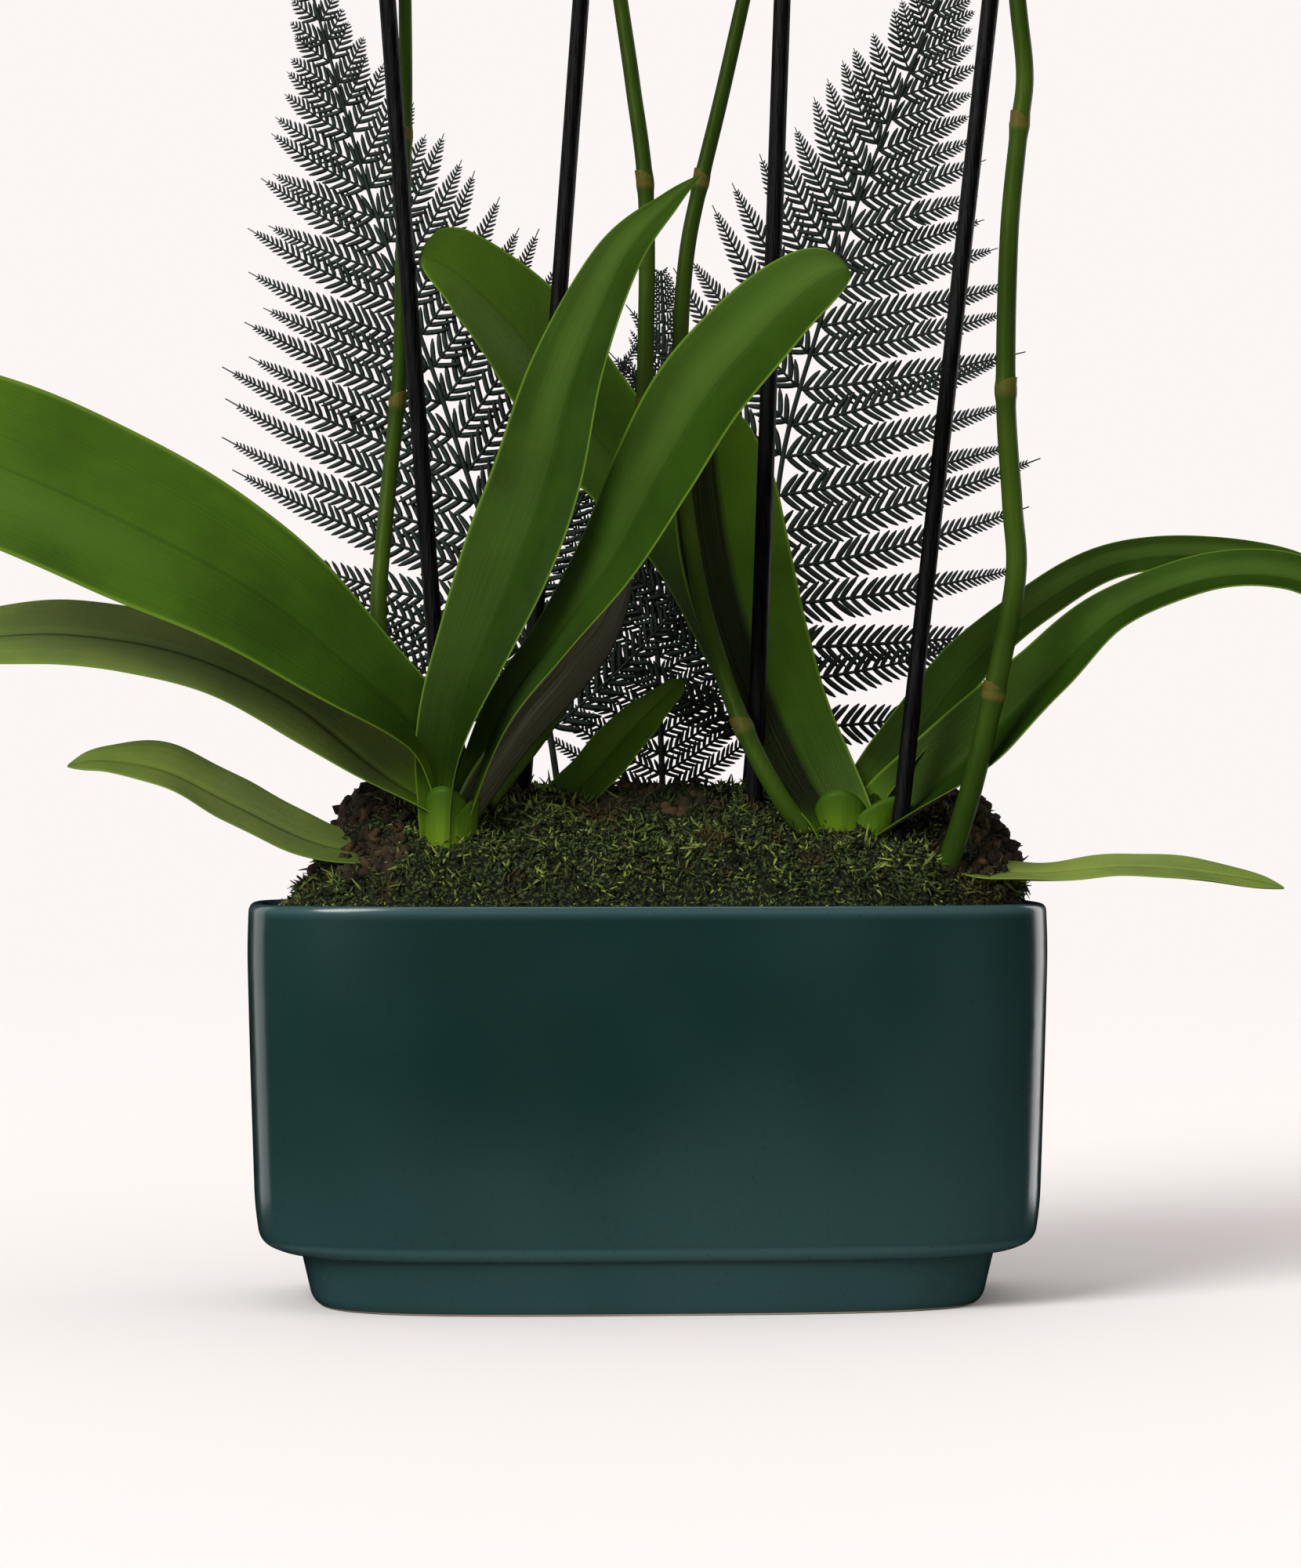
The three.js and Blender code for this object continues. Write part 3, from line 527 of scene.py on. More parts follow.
def scattered(surface, count, random):
    """Random points spread evenly over a grid of rings, with the normals there: cells are
    drawn by their area and a point lies at two random shares of its cell's sides."""
    a, b = surface[:-1], np.roll(surface, -1, 1)[:-1]
    c, d = np.roll(surface, -1, 1)[1:], surface[1:]
    normal = np.cross(b - a, d - a)
    area = np.linalg.norm(normal, axis=-1).ravel()
    cell = random.choice(area.size, count, p=area / area.sum())
    u, v = random.random((2, count, 1))
    a, b, c, d = [corner.reshape(-1, 3)[cell] for corner in (a, b, c, d)]
    return lerp(lerp(a, b, u), lerp(d, c, u), v), unit(normal.reshape(-1, 3)[cell] + 1e-9)


def strand_skin(roots, ways, bends, lengths, radii, tone):
    """Closed three-sided strands: the centre at share t is root + length (t way + t^2 bend),
    and the radius at the foot, middle and tip is 0.6, 1 and 0.25 of the given one."""
    t = np.array([0, 0.5, 1])[:, None]
    path = roots[:, None] + lengths[:, None, None] * (t * ways[:, None] + t * t * bends[:, None])
    return tube(path, radii[:, None] * [0.6, 1, 0.25], 3, [0.31, 0.52, 0.79], tone[:, None], t[:, 0])


def moss_strands(settings, part, surface):
    """The strands of a third of the moss: 0 is the left, 1 the middle and 2 the right. They
    are sparser and darker where bark shows, shorter at the rim and longer in tufts."""
    random = np.random.default_rng(STRAND_SEED + part)
    roots, normals = scattered(surface, settings.strands * 5, random)
    x, _, z = roots.T
    ends = ease(BARE_END, BARE_END + 9, np.abs(x - MOUND_MIDDLE)) * ease(134, 141, z)
    bare = np.maximum(ends, 0.8 * bell(x, GAP_MIDDLE, 20) * ease(150, 155, z))
    keep = (np.digitize(x, THIRDS) == part) & (random.random(len(roots)) > 0.85 * bare)
    roots, normals, bare = [v[keep][: settings.strands] for v in (roots, normals, bare)]
    count = len(roots)
    tuft = waves(roots, 9, TUFT_SEED)
    ways = unit(normals * 0.55 + random.normal(size=(count, 3)) * 0.7)
    bends = random.normal(size=(count, 3)) * 0.6 - [0, 0, 0.2]
    lengths = settings.longest * random.uniform(0.4, 1, count) * (1 + 0.25 * tuft)
    rim = (roots[:, 2] < 129) | (np.abs(roots[:, 1]) > 52)
    lengths = np.where(rim, lengths * 0.5, lengths)
    tone = np.clip(0.44 + 0.14 * tuft + random.normal(size=count) * 0.3, 0, 1) * (1 - 0.6 * bare)
    radii = random.uniform(0.34, 0.72, count)
    return strand_skin(roots - normals * 0.6, ways, bends, lengths, radii, tone)


def moss_paint(settings, name, ground=False):
    """From dark through green to fresh with the tone, with brown patches. The ground is speckled with
    painted shade and the strands are darker at the foot with painted shade."""
    paint = Paint(name)
    tone = paint.value("tone")
    brown = paint.between(paint.noise(60, 3), 0.52, 0.64, 0, 0.9)
    colour = paint.layer(settings.dark, settings.green, tone, 0, 0.5)
    colour = paint.layer(colour, settings.fresh, tone, 0.5, 1)
    colour = paint.mix(paint.times(brown, 0.8), colour, "3a2a12")
    if ground:
        # Painted shade: near-black speckle between the strands.
        colour = paint.layer("0a0f04", colour, paint.noise(900), 0.5, 0.66)
    else:
        # Painted shade: the strands darken towards their feet.
        colour = paint.layer(colour, "0b0e05", paint.value("tip"), 0, 1, 0.35, 0)
    return paint.finish(colour, 0.9, paint.bump(paint.noise(1400, 3), 0.0006), 0.15)


def turns(count, random):
    """Random turns as matrices, from evenly spread unit quaternions."""
    w, x, y, z = unit(random.normal(size=(count, 4))).T
    rows = [
        [1 - 2 * (y * y + z * z), 2 * (x * y - w * z), 2 * (x * z + w * y)],
        [2 * (x * y + w * z), 1 - 2 * (x * x + z * z), 2 * (y * z - w * x)],
        [2 * (x * z - w * y), 2 * (y * z + w * x), 1 - 2 * (x * x + y * y)],
    ]
    return np.moveaxis(np.array(rows), -1, 0)


def bark_chips(surface):
    """Bark chips at the mound's ends and between the plants: superellipsoids, cosine and sine
    of both angles to the power 0.55, stretched to each chip's size, roughened by noise and
    turned at random."""
    random = np.random.default_rng(BARK_SEED)
    at, _ = scattered(surface, CHIPS_TRIED, random)
    x, _, z = at.T
    ends = (np.abs(x - MOUND_MIDDLE) > BARE_END - 2) & (z > 135)
    middle = (np.abs(x - GAP_MIDDLE) < 20) & (z > 155)
    at = np.vstack([at[ends][:CHIPS_AT_ENDS], at[middle][:CHIPS_BETWEEN]])
    centres = at[:, None, None] - [0, 0, 1]
    many = len(centres)
    sizes = random.uniform(SMALLEST_CHIP, LARGEST_CHIP, (many, 3))
    down = np.linspace(-1, 1, 5)[:, None] * np.pi / 2 * 0.86
    c, s, level, rise = [signed_power(v, 0.55) for v in (*circle(7), np.cos(down), np.sin(down))]
    chips = joined(level * c, level * s, rise) * sizes[:, None, None]
    chips = chips * (1 + 0.26 * waves(chips + centres, 5, 8))[..., None]
    chips = np.einsum("nij,nrcj->nrci", turns(many, random), chips)
    return skins(with_values(chips + centres, random.random(many)[:, None, None]))


def bark_paint():
    """Dark brown fibre, lighter on some of the chips."""
    paint = Paint("bark")
    fibre = paint.noise(160, 4, (1, 1, 0.25))
    colour = paint.layer("120d07", "2a2010", fibre, 0.3, 0.7)
    colour = paint.layer(colour, "47351c", paint.value("tone"), 0.65, 1, 0, 0.5)
    return paint.finish(colour, 0.92, paint.bump(fibre, 0.0012), 0.2)


class PLANTING_OT_moss(Operator):
    """Make the moss mound, its strands and the bark that shows through"""

    bl_idname = "planting.moss"
    bl_label = "Moss and bark"

    def execute(self, context):
        settings = context.scene.planting.moss
        surface = mound()
        outer = surface[OUTER_FROM:]
        ground = with_values(surface, 0.4 + 0.2 * waves(surface, 13, TUFT_SEED))
        paint = moss_paint(settings, "moss_ground", True)
        new_piece("moss_mound", skins(ground[None]), ("tone",), paint, ["moss"], False)
        paint = moss_paint(settings, "moss_strand")
        for part, side in enumerate(("left", "middle", "right")):
            skin = moss_strands(settings, part, outer)
            new_piece(f"moss_strands_{side}", skin, ("tone", "tip"), paint, [], False)
        new_piece("bark_chips", bark_chips(outer), ("tone",), bark_paint(), [], False)
        return {"FINISHED"}


# ---- Orchid leaves ----

# path runs up the midrib from base to tip, each station as [across, back, up, half width].
# faces is the way the upper side looks, at the base and at the tip. channel is the rise of
# the halves for their width. shade picks the paint.
LEAVES = {
    "leaf_left_broad": dict(path=[
        [-61, -32, 152, 5.5], [-69, -34, 177, 11], [-93, -43, 200, 20], [-122, -49, 223, 27],
        [-163, -56, 245, 31], [-204, -61, 263, 30], [-238, -63, 275, 24], [-262, -62, 282, 8],
    ], faces=[[0.5, -0.75, 0.6], [0.25, -0.88, 0.45]], channel=0.12),
    "leaf_left_low": dict(path=[
        [-63, -30, 153, 8], [-85, -29, 168, 15], [-112, -30, 189, 19], [-145, -32, 204, 22],
        [-180, -34, 210, 23], [-208, -35, 209, 21], [-230, -35, 206, 14], [-246, -34, 202, 5],
    ], faces=[[0.3, -0.5, 0.8], [0, -0.42, 0.91]], channel=0.05, groove=1.2, shade=2),
    "leaf_left_small": dict(path=[
        [-66, -28, 142, 7], [-84, -27, 141, 9], [-105, -29, 145, 13], [-130, -33, 157, 16],
        [-150, -37, 167, 16], [-167, -40, 170, 10], [-180, -42, 169, 3],
    ], faces=[[0.2, -0.5, 0.85], [0, -0.4, 0.92]], channel=0.16, groove=0.9, shade=2),
    "leaf_left_upright": dict(path=[
        [-62, -34, 139, 5], [-62, -36, 158, 6.5], [-60, -39, 177, 10], [-54, -41, 198, 14],
        [-41, -42, 229, 19], [-31, -43, 256, 19], [-22, -45, 290, 15.5], [-7, -47, 325, 11],
        [8, -48, 343, 5], [17, -49, 352, 2],
    ], faces=[[-0.5, -0.8, 0.3], [-0.55, -0.7, 0.45]], channel=0.3, fold=0.9, wave=0.15, shade=3),
    "leaf_left_round": dict(path=[
        [-58, -32, 148, 5], [-45, -40, 184, 7], [-27, -48, 209, 10], [-9, -54, 234, 15],
        [5, -59, 259, 19], [20, -65, 283, 21], [38, -71, 303, 19], [52, -75, 315, 15],
        [62, -76, 320, 12],
    ], faces=[[-0.6, -0.7, 0.3], [-0.55, -0.72, 0.5]], channel=0.22, wave=0.15, shade=3),
    "leaf_left_folded": dict(path=[
        [-61, -33, 142, 5], [-51, -28, 158, 9], [-38, -21, 176, 13.5], [-22, -12, 194, 16],
        [-12, -7, 208, 15.5], [-6, -1, 226, 12], [-5, 3, 241, 4],
    ], faces=[[-0.7, -0.2, 0.6], [-0.7, -0.2, 0.6]], channel=0.95),
    "leaf_left_short": dict(path=[
        [-44, -12, 146, 5], [-33, -4, 152, 7], [-19, 1, 164, 8.5], [-4, 6, 181, 8], [12, 12, 197, 3],
    ], faces=[[-0.3, -0.8, 0.4], [-0.3, -0.8, 0.4]], channel=0.2),
    "leaf_right_back": dict(path=[
        [60, -6, 156, 9], [44, 12, 172, 14], [31, 22, 202, 16], [15, 25, 235, 18], [-5, 23, 262, 22],
        [-24, 18, 285, 25.5], [-42, 10, 309, 24.5], [-59, 2, 325, 20], [-72, -5, 332, 15],
    ], faces=[[0.6, -0.7, 0.3], [0.4, -0.7, 0.6]], channel=0.16),
    "leaf_right_upright": dict(path=[
        [62, -21, 138, 9], [60, -20, 150, 11], [50, -12, 169, 15], [38, -3, 198, 17.5],
        [29, 4, 228, 19.5], [24, 7, 257, 18.5], [22, 6, 275, 12.5], [20, 3, 286, 6],
    ], faces=[[0.35, -0.9, 0.25], [0.35, -0.88, 0.3]], channel=0.2, shade=1),
    "leaf_right_arching": dict(path=[
        [66, -14, 148, 8], [83, -3, 174, 10], [104, 7, 201, 10], [126, 13, 220, 9],
        [151, 15, 234, 8.5], [180, 14, 237, 7.5], [206, 12, 234, 7], [226, 5, 225, 3],
    ], faces=[[-0.55, -0.75, 0.4], [0.15, -0.55, 0.8]], channel=0.3, shade=3),
    "leaf_right_front": dict(path=[
        [67, -19, 143, 8.5], [87, -19, 158, 15], [107, -21, 176, 18], [127, -25, 196, 15.5],
        [148, -30, 216, 12.5], [175, -36, 227, 10.5], [200, -40, 227, 11.5], [217, -42, 218, 8],
        [230, -43, 207, 3],
    ], faces=[[-0.6, -0.55, 0.6], [0.15, -0.5, 0.85]], channel=0.3, shade=3),
    "leaf_right_low": dict(path=[
        [78, -18, 150, 6], [92, -23, 138, 9], [120, -29, 135, 9.5], [150, -33, 137, 10],
        [176, -37, 135, 10], [199, -40, 131, 3],
    ], faces=[[0, -0.3, 0.95], [0, -0.3, 0.95]], channel=0.15, shade=2),
}
BLADE_VALUES = ("along", "across", "under")
GREEN_GLOSS = (0.75, 1, 0.3, 1)  # tints the gloss of leaves and stems


def blade_width(u, base, widest, tip):
    """Half width as a share of the greatest: a quarter sine from base up to 1 at widest, then
    the root of 1 - v^tip of the share v left to the tip."""
    swell = lerp(base, 1, np.sin(np.pi / 2 * np.minimum(u / widest, 1)))
    close = np.sqrt(np.maximum(4e-4, 1 - np.clip((u - widest) / (1 - widest), 0, 1) ** tip))
    return np.where(u < widest, swell, close)


def blade(path, faces, channel, thick, rows=80, count=64, profile=None, fold=0.0, groove=0.55,
          wave=0.0, seed=0):
    """A leaf-like skin. At share u along the path and angle a round the section, with
    s = cos a, the point is centre + side s w + up (rise w |s|^1.5 + thickness sin a / 2),
    less a groove along the upper midrib, more a keel under it, and waved at the edges. The
    rise is the channel, and at the base the fold too. The half width w is the path's fourth
    value, closed by a quarter circle over the last sixteenth, or comes from profile:
    (greatest half width, base, widest, tip)."""
    v = np.linspace(0, 1, rows)[:, None]
    u = lerp(0.999, 0.001, (1 - v) ** 1.35)
    line, tangent, _ = spline(path, u[:, 0])
    up = lerp(*[np.asarray(face, float) for face in faces], u)
    up = unit(up - (up * tangent).sum(-1, keepdims=True) * tangent)
    side = np.cross(up, tangent)
    if profile:
        width = profile[0] * blade_width(u, *profile[1:])
    else:
        width = line[:, 3:] * np.sqrt(1 - np.clip((u - 0.94) / 0.06, 0, 1) ** 2)
    s, t = circle(count)
    rise = channel + fold * (1 - ease(0, 0.3, u))
    thickness = thick * (1 - 0.5 * s * s) * np.minimum(1, width / 6)
    lift = rise * width * np.abs(s) ** 1.5 + thickness * signed_power(t, 0.6) / 2
    on_rib = bell(s, 0, 0.07) * ease(0.02, 0.12, u) * (1 - ease(0.8, 1, u))
    lift = lift - np.where(t > 0, groove, groove * 1.5) * on_rib
    random = np.random.default_rng(seed)
    ripple = sum(np.sin(2 * np.pi * (f * u + random.random()) + s) for f in (1.3, 2.6, 4.7))
    lift = lift + wave * ripple * s * s * np.minimum(1, width / 8)
    rings = line[:, None, :3] + side[:, None] * (s * width)[..., None] + up[:, None] * lift[..., None]
    return skins(with_values(rings, u, s, t < -0.05)[None])


def leaf_paint(settings, name, shade):
    """Leaf green with fine veins that run along the blade, yellow-green at the base and darker above it
    with painted shade, painted shade along the midrib, a pale rim of painted light at the thin edges
    and a dull purplish underside. Of the shades, 1 paints shade over the left half, streaked dark
    purple-black, 2 is a paler and duller copy whose paleness is painted light on the low leaves that
    face up, and 3 is a deeper green copy that paints shade on the leaves that face the light most. 0
    and 3 have a soft painted sheen beside the midrib."""
    paint = Paint(name)
    along, across, under = [paint.value(v) for v in BLADE_VALUES]
    spread = paint.math("ABSOLUTE", across)
    veins = paint.grain(paint.vector(paint.times(across, 34), along, 0), 1.6)
    blotch = paint.noise(26, 3)
    # Shade 2 is a lit copy with painted light, and 3 a shaded copy with painted shade.
    others = {2: (settings.pale, "6c7c36"), 3: (settings.deep, "203806")}
    green = paint.layer(*others.get(shade, (settings.upper, "33500c")), blotch, 0.3, 0.7)
    green = paint.layer(green, "1d3207", veins, 0.5, 0.72, 0, 0.35)
    # Painted shade over the lower half of the blade, fading out halfway up.
    green = paint.layer(green, "0f1f05", along, 0.1, 0.5, 0.6, 0)
    green = paint.layer(green, "48660d", along, 0.02, 0.14, 0.85, 0)
    green = paint.layer(green, "2f4a0a" if shade == 3 else "4a6712", along, 0.6, 1, 0, 0.35)
    if shade == 1:
        # Painted shade: the left half of this leaf is darkened nearly to black, with streaks.
        left = paint.between(across, -0.05, 0.12, 0, 0.94)
        left = paint.times(left, paint.between(along, 0.04, 0.18))
        green = paint.mix(left, green, paint.layer("0e0d0a", "1d2012", veins, 0.4, 0.62))
    if shade in (0, 3):
        # Painted sheen: a soft lighter band just beside the midrib, partway up the blade.
        band = paint.math("ABSOLUTE", paint.math("SUBTRACT", across, 0.3))
        band = paint.times(paint.between(band, 0, 0.5, 0.3, 0), paint.between(along, 0.35, 0.7))
        green = paint.mix(band, green, "445c22")
    # Painted shade along the midrib's groove, stronger on the paler low leaves.
    green = paint.layer(green, "0d1a04", spread, 0, 0.045, 0.75 if shade == 2 else 0.25, 0)
    back = paint.layer(settings.under, "4a4a3a", veins, 0.4, 0.64)
    colour = paint.mix(under, green, back)
    # Painted light at the thin edges: a pale rim round the blade.
    colour = paint.layer(colour, settings.rim, spread, 0.93, 0.985, 0, 0.5)
    rough = paint.between(blotch, 0.3, 0.7, 0.4, 0.52)
    height = paint.math("ADD", veins, paint.times(paint.noise(1500), 0.25))
    normal = paint.bump(height, 0.0003, 0.7)
    return paint.finish(colour, rough, normal, 0.12, Specular_Tint=GREEN_GLOSS)


class PLANTING_OT_leaves(Operator):
    """Make the orchids' leaves"""

    bl_idname = "planting.leaves"
    bl_label = "Leaves"

    def execute(self, context):
        settings = context.scene.planting.leaf
        names = ("leaf", "leaf_shaded", "leaf_pale_lit", "leaf_deep_shaded")
        paints = [leaf_paint(settings, name, shade) for shade, name in enumerate(names)]
        for i, (node, leaf) in enumerate(LEAVES.items()):
            leaf = {"fold": 0.45, "wave": 0.25, **leaf}
            paint = paints[leaf.pop("shade", 0)]
            skin = blade(thick=settings.thickness, seed=i, **leaf)
            new_piece(node.replace("leaf_", "blade_"), skin, BLADE_VALUES, paint, [node])
        return {"FINISHED"}


# ---- Crowns, flower stems, stakes and clips ----

# sheaths are the leaf bases round a crown: [way it looks in degrees from the front, height of
# its foot, its own height, spread in degrees, share of the crown's radius, flare, lean to
# the right]
CROWNS = {
    "crown_left": dict(
        foot=[-62, -34, 116], head=[-61, -34, 156],
        sheaths=[
            [160, 10, 36, 160, 0.95, 0.5, 0], [-14, 12, 35, 165, 1.0, 0.4, 0.02],
            [74, 10, 34, 140, 0.96, 0.8, 0.06],
        ],
    ),
    "crown_right": dict(
        foot=[63, -20, 116], head=[63, -18, 154],
        sheaths=[
            [150, 12, 34, 160, 1.0, 1, 0.1], [60, 12, 36, 160, 1.05, 3, 0.3],
            [-10, 12, 34, 165, 1.12, 0, -0.04],
        ],
    ),
}
CROWN_RADIUS = 8

# rings are the heights of a stem's rings, and flowers are [the station that bears it, the
# place of its middle]
SPIKES = {
    "spike_left": dict(path=[
        [-66, -22, 158], [-80, -14, 188], [-85, -8, 216], [-83, -1, 251], [-79, 2, 293], [-78, 2, 331],
        [-77, 2, 376], [-77, 0, 413], [-78, 0, 452], [-84, -4, 490], [-97, -20, 520], [-113, -46, 534],
        [-129, -74, 528], [-141, -98, 508],
    ], radius=2.9, rings=[206, 285, 371, 455], flowers=[
        [9, [-116, -26, 486]], [10, [-72, -38, 533]], [11, [-136, -68, 553]],
        [12, [-104, -94, 515]],
    ]),
    "spike_mid_left": dict(path=[
        [-50, -24, 158], [-28, 0, 189], [-12, -2, 226], [-2, -10, 263], [0, -12, 304], [0, -12, 351],
        [-4, -8, 385], [-8, -4, 413], [-12, -4, 440], [-18, -6, 490], [-24, -8, 545], [-31, -16, 590],
        [-40, -38, 620], [-50, -66, 628], [-59, -94, 612], [-65, -114, 584],
    ], radius=3.1, rings=[214, 283, 354, 432, 510], flowers=[
        [10, [-58, -24, 556]], [11, [2, -34, 592]], [12, [-66, -62, 634]], [13, [-24, -96, 634]],
    ]),
    "spike_mid_right": dict(path=[
        [51, -26, 148], [42, -26, 160], [31, -22, 181], [20, -12, 213], [14, -4, 243], [11, -4, 273],
        [11, -4, 305], [13, -6, 332], [17, -6, 353], [24, -6, 382], [31, -6, 413], [37, -7, 440],
        [44, -8, 480], [52, -14, 520], [62, -34, 548], [74, -62, 554], [85, -90, 538], [93, -110, 512],
    ], radius=3.1, rings=[181, 262, 355, 448], flowers=[
        [12, [12, -26, 500]], [13, [86, -30, 526]], [14, [34, -56, 566]], [15, [106, -82, 566]],
    ]),
    "spike_right": dict(path=[
        [91, -31, 130], [96, -34, 143], [102, -38, 164], [108, -40, 190], [115, -42, 227],
        [114, -42, 251], [112, -42, 285], [113, -42, 333], [116, -42, 366], [118, -41, 384],
        [116, -40, 406], [113, -38, 440], [115, -36, 490], [122, -36, 540], [133, -44, 580],
        [148, -64, 600], [164, -90, 596], [178, -112, 574],
    ], radius=3.6, rings=[191, 286, 368, 446, 520], flowers=[
        [13, [154, -50, 544]], [14, [108, -66, 596]], [15, [180, -80, 618]],
        [16, [146, -116, 580]],
    ]),
}
FLOWER_BACK = 7  # how far behind a flower's middle its stalk ends
BUDS = 4  # at each stem's end

STAKE_RADIUS = 2.7
# The foot and the top of each
STAKES = {
    "stake_left": [[-56.3, -8, 62], [-85.8, -8, 462]],
    "stake_mid_left": [[-46.9, 6, 62], [-17.4, 6, 462]],
    "stake_mid_right": [[31, -14, 62], [45, -14, 462]],
    "stake_right": [[70, -28, 62], [114, -28, 462]],
}
CLIP_HEIGHT = 440
# Where the stake and the stem pass through each, [across, back]
CLIPS = {
    "clip_left": [[-84.2, -8], [-77.7, 0]],
    "clip_mid_left": [[-19, 6], [-12, -4]],
    "clip_mid_right": [[44.2, -14], [37, -7]],
    "clip_right": [[111.6, -28], [113, -38]],
}
STEM_VALUES = ("tone", "along")
SCALE_TONE, RING_TONE, STALK_TONE, BUD_TONE = 0.36, 0.5, 0.62, 0.86  # 0 is plain green


def flower_way(centre):
    """The way a flower looks: forwards, a little down and out from the planting's middle."""
    return unit(np.array([centre[0] * 0.004, -1, -0.12]))


def sheath(foot, axis, looks, radius, height, spread, flare, thick, tone=0.0):
    """A leaf base that wraps a stem. At angle a from the way it looks and share v up, the
    outer face is at radius + flare v^2 cos(a)^2 from the axis, without flare behind it, and
    the top is at 0.25 + 0.75 cos(a / 2)^1.5 of the height. The inner face lies closer by a
    thickness that thins upwards."""
    axis = unit(np.asarray(axis, float))
    front = unit(looks - (looks @ axis) * axis)
    right = np.cross(axis, front)
    a = np.radians(spread) * np.linspace(-1, 1, 24)
    v = np.linspace(0, 1, 18)[:, None]
    top = height * (0.25 + 0.75 * np.cos(a / 2) ** 1.5)
    outer = radius + flare * v**2 * np.maximum(np.cos(a), 0) ** 2
    inner = outer - thick * (1 - 0.65 * v)
    loops = []
    for reach, angle, rise in ((outer, a, top), (inner[:, ::-1], a[::-1], top[::-1])):
        way = front * np.cos(angle)[:, None] + right * np.sin(angle)[:, None]
        loops.append(foot + way * reach[..., None] + axis * (v * rise)[..., None])
    return skins(with_values(np.concatenate(loops, 1), tone, v)[None])


def crown_skin(foot, head, sheaths):
    """A plump stem with overlapping leaf bases round it. Its rings stand on a straight line
    and their girth is read between six values."""
    t = np.linspace(0, 1, 24)[:, None]
    spread = np.interp(t, np.linspace(0, 1, 6), [0.78, 0.98, 1, 1.0, 0.8, 0.3])
    foot = np.array(foot, float)
    x, y, z = lerp(foot, np.array(head, float), t).T[..., None]
    c, s = circle(36)
    girth = CROWN_RADIUS * 0.85 * spread
    parts = [skins(joined(x + girth * c, y + girth * s, z, 0, t)[None])]
    for looks, low, height, wide, radius, flare, lean in sheaths:
        angle = np.radians(looks)
        way = np.array([np.sin(angle), -np.cos(angle), 0])
        at = foot + [0, 0, low]
        size = CROWN_RADIUS * radius
        parts.append(sheath(at, [lean, 0, 1], way, size, height, wide, flare, thick=2.0))
    return together(*parts)


def share_at_height(path, height):
    """Share of the curve's length at which it first passes a height."""
    shares = np.linspace(0, 1, 800)
    rising, _, _ = spline(path, shares)
    return shares[np.argmax(rising[:, 2] > height)]


def stalk_skin(root, flower):
    """A flower's stalk: a curve from the stem that rises to the flower's back and thickens."""
    head = np.array(flower) - flower_way(flower) * FLOWER_BACK
    t = np.linspace(0, 1, 24)
    line, _, _ = spline([root, lerp(root, head, 0.55) + [0, 4, 3], head], t)
    return tube(line, 1.15 + 0.45 * ease(0.55, 1, t), 12, [1, 0.1, 0], STALK_TONE, t)


def bud_skin(centre, size, way):
    """A flower bud: an egg with three shallow seams, its point along way but steeper."""
    down = np.linspace(-1, 1, 16)[:, None] * np.pi / 2 * 0.97
    axis = unit(np.array(way) * [1, 1, 1.4])
    right = unit(np.cross(axis, [0.2, 1, 0.1]))
    other = np.cross(axis, right)
    angle = 2 * np.pi * np.arange(24) / 24
    seam = 1 - 0.08 * np.abs(np.cos(1.5 * angle)) ** 12
    girth = size * 0.88 * np.cos(down) * (1 - 0.18 * np.sin(down)) * seam
    places = joined(girth * np.cos(angle), girth * np.sin(angle), size * 1.1 * np.sin(down))
    rings = centre + places @ np.array([right, other, axis])
    return skins(with_values(rings, BUD_TONE, down / np.pi + 0.5)[None])


def spike_skin(path, radius, rings, flowers):
    """A flower stem that narrows by half, swells at each ring and stalk and wears a scale at
    each ring, with a stalk to each flower and buds at its end."""
    shares = np.linspace(0, 1, 260)
    centre, _, length = spline(path, shares)
    ringed = [share_at_height(path, height) for height in rings]
    stalked = [joint / (len(path) - 1) for joint, _ in flowers]
    swell = sum(bell(shares * length, mark * length, 2.6) for mark in ringed + stalked)
    scar = sum(bell(shares * length, mark * length, 1.3) for mark in ringed)
    radii = radius * lerp(1, 0.5, shares) * (1 + 0.17 * swell)
    parts = [tube(centre, radii, 20, [0.1, 1, 0.05], RING_TONE * np.minimum(scar, 1), shares)]
    for k, mark in enumerate(ringed):
        at, axis, _ = spline(path, [mark])
        looks = turned([0.9 if k % 2 else -0.9, -0.5, 0])
        size = radius * lerp(1, 0.5, mark) + 0.3
        parts.append(sheath(
            at[0] - axis[0] * 1.5, axis[0], looks, size, height=5.5, spread=150, flare=0.3,
            thick=0.6, tone=SCALE_TONE,
        ))
    for joint, flower in flowers:
        parts.append(stalk_skin(np.array(path[joint], float), flower))
    for k in range(BUDS):
        share = k / (BUDS - 1)
        size = lerp(5.5, 3.5, share)
        at = spline(path, [lerp(0.93, 1, share)])[0][0]
        side = np.array([0.75 if k % 2 else -0.75, -0.35, -0.3])
        parts.append(bud_skin(at + side * size, size, side))
    return together(*parts)


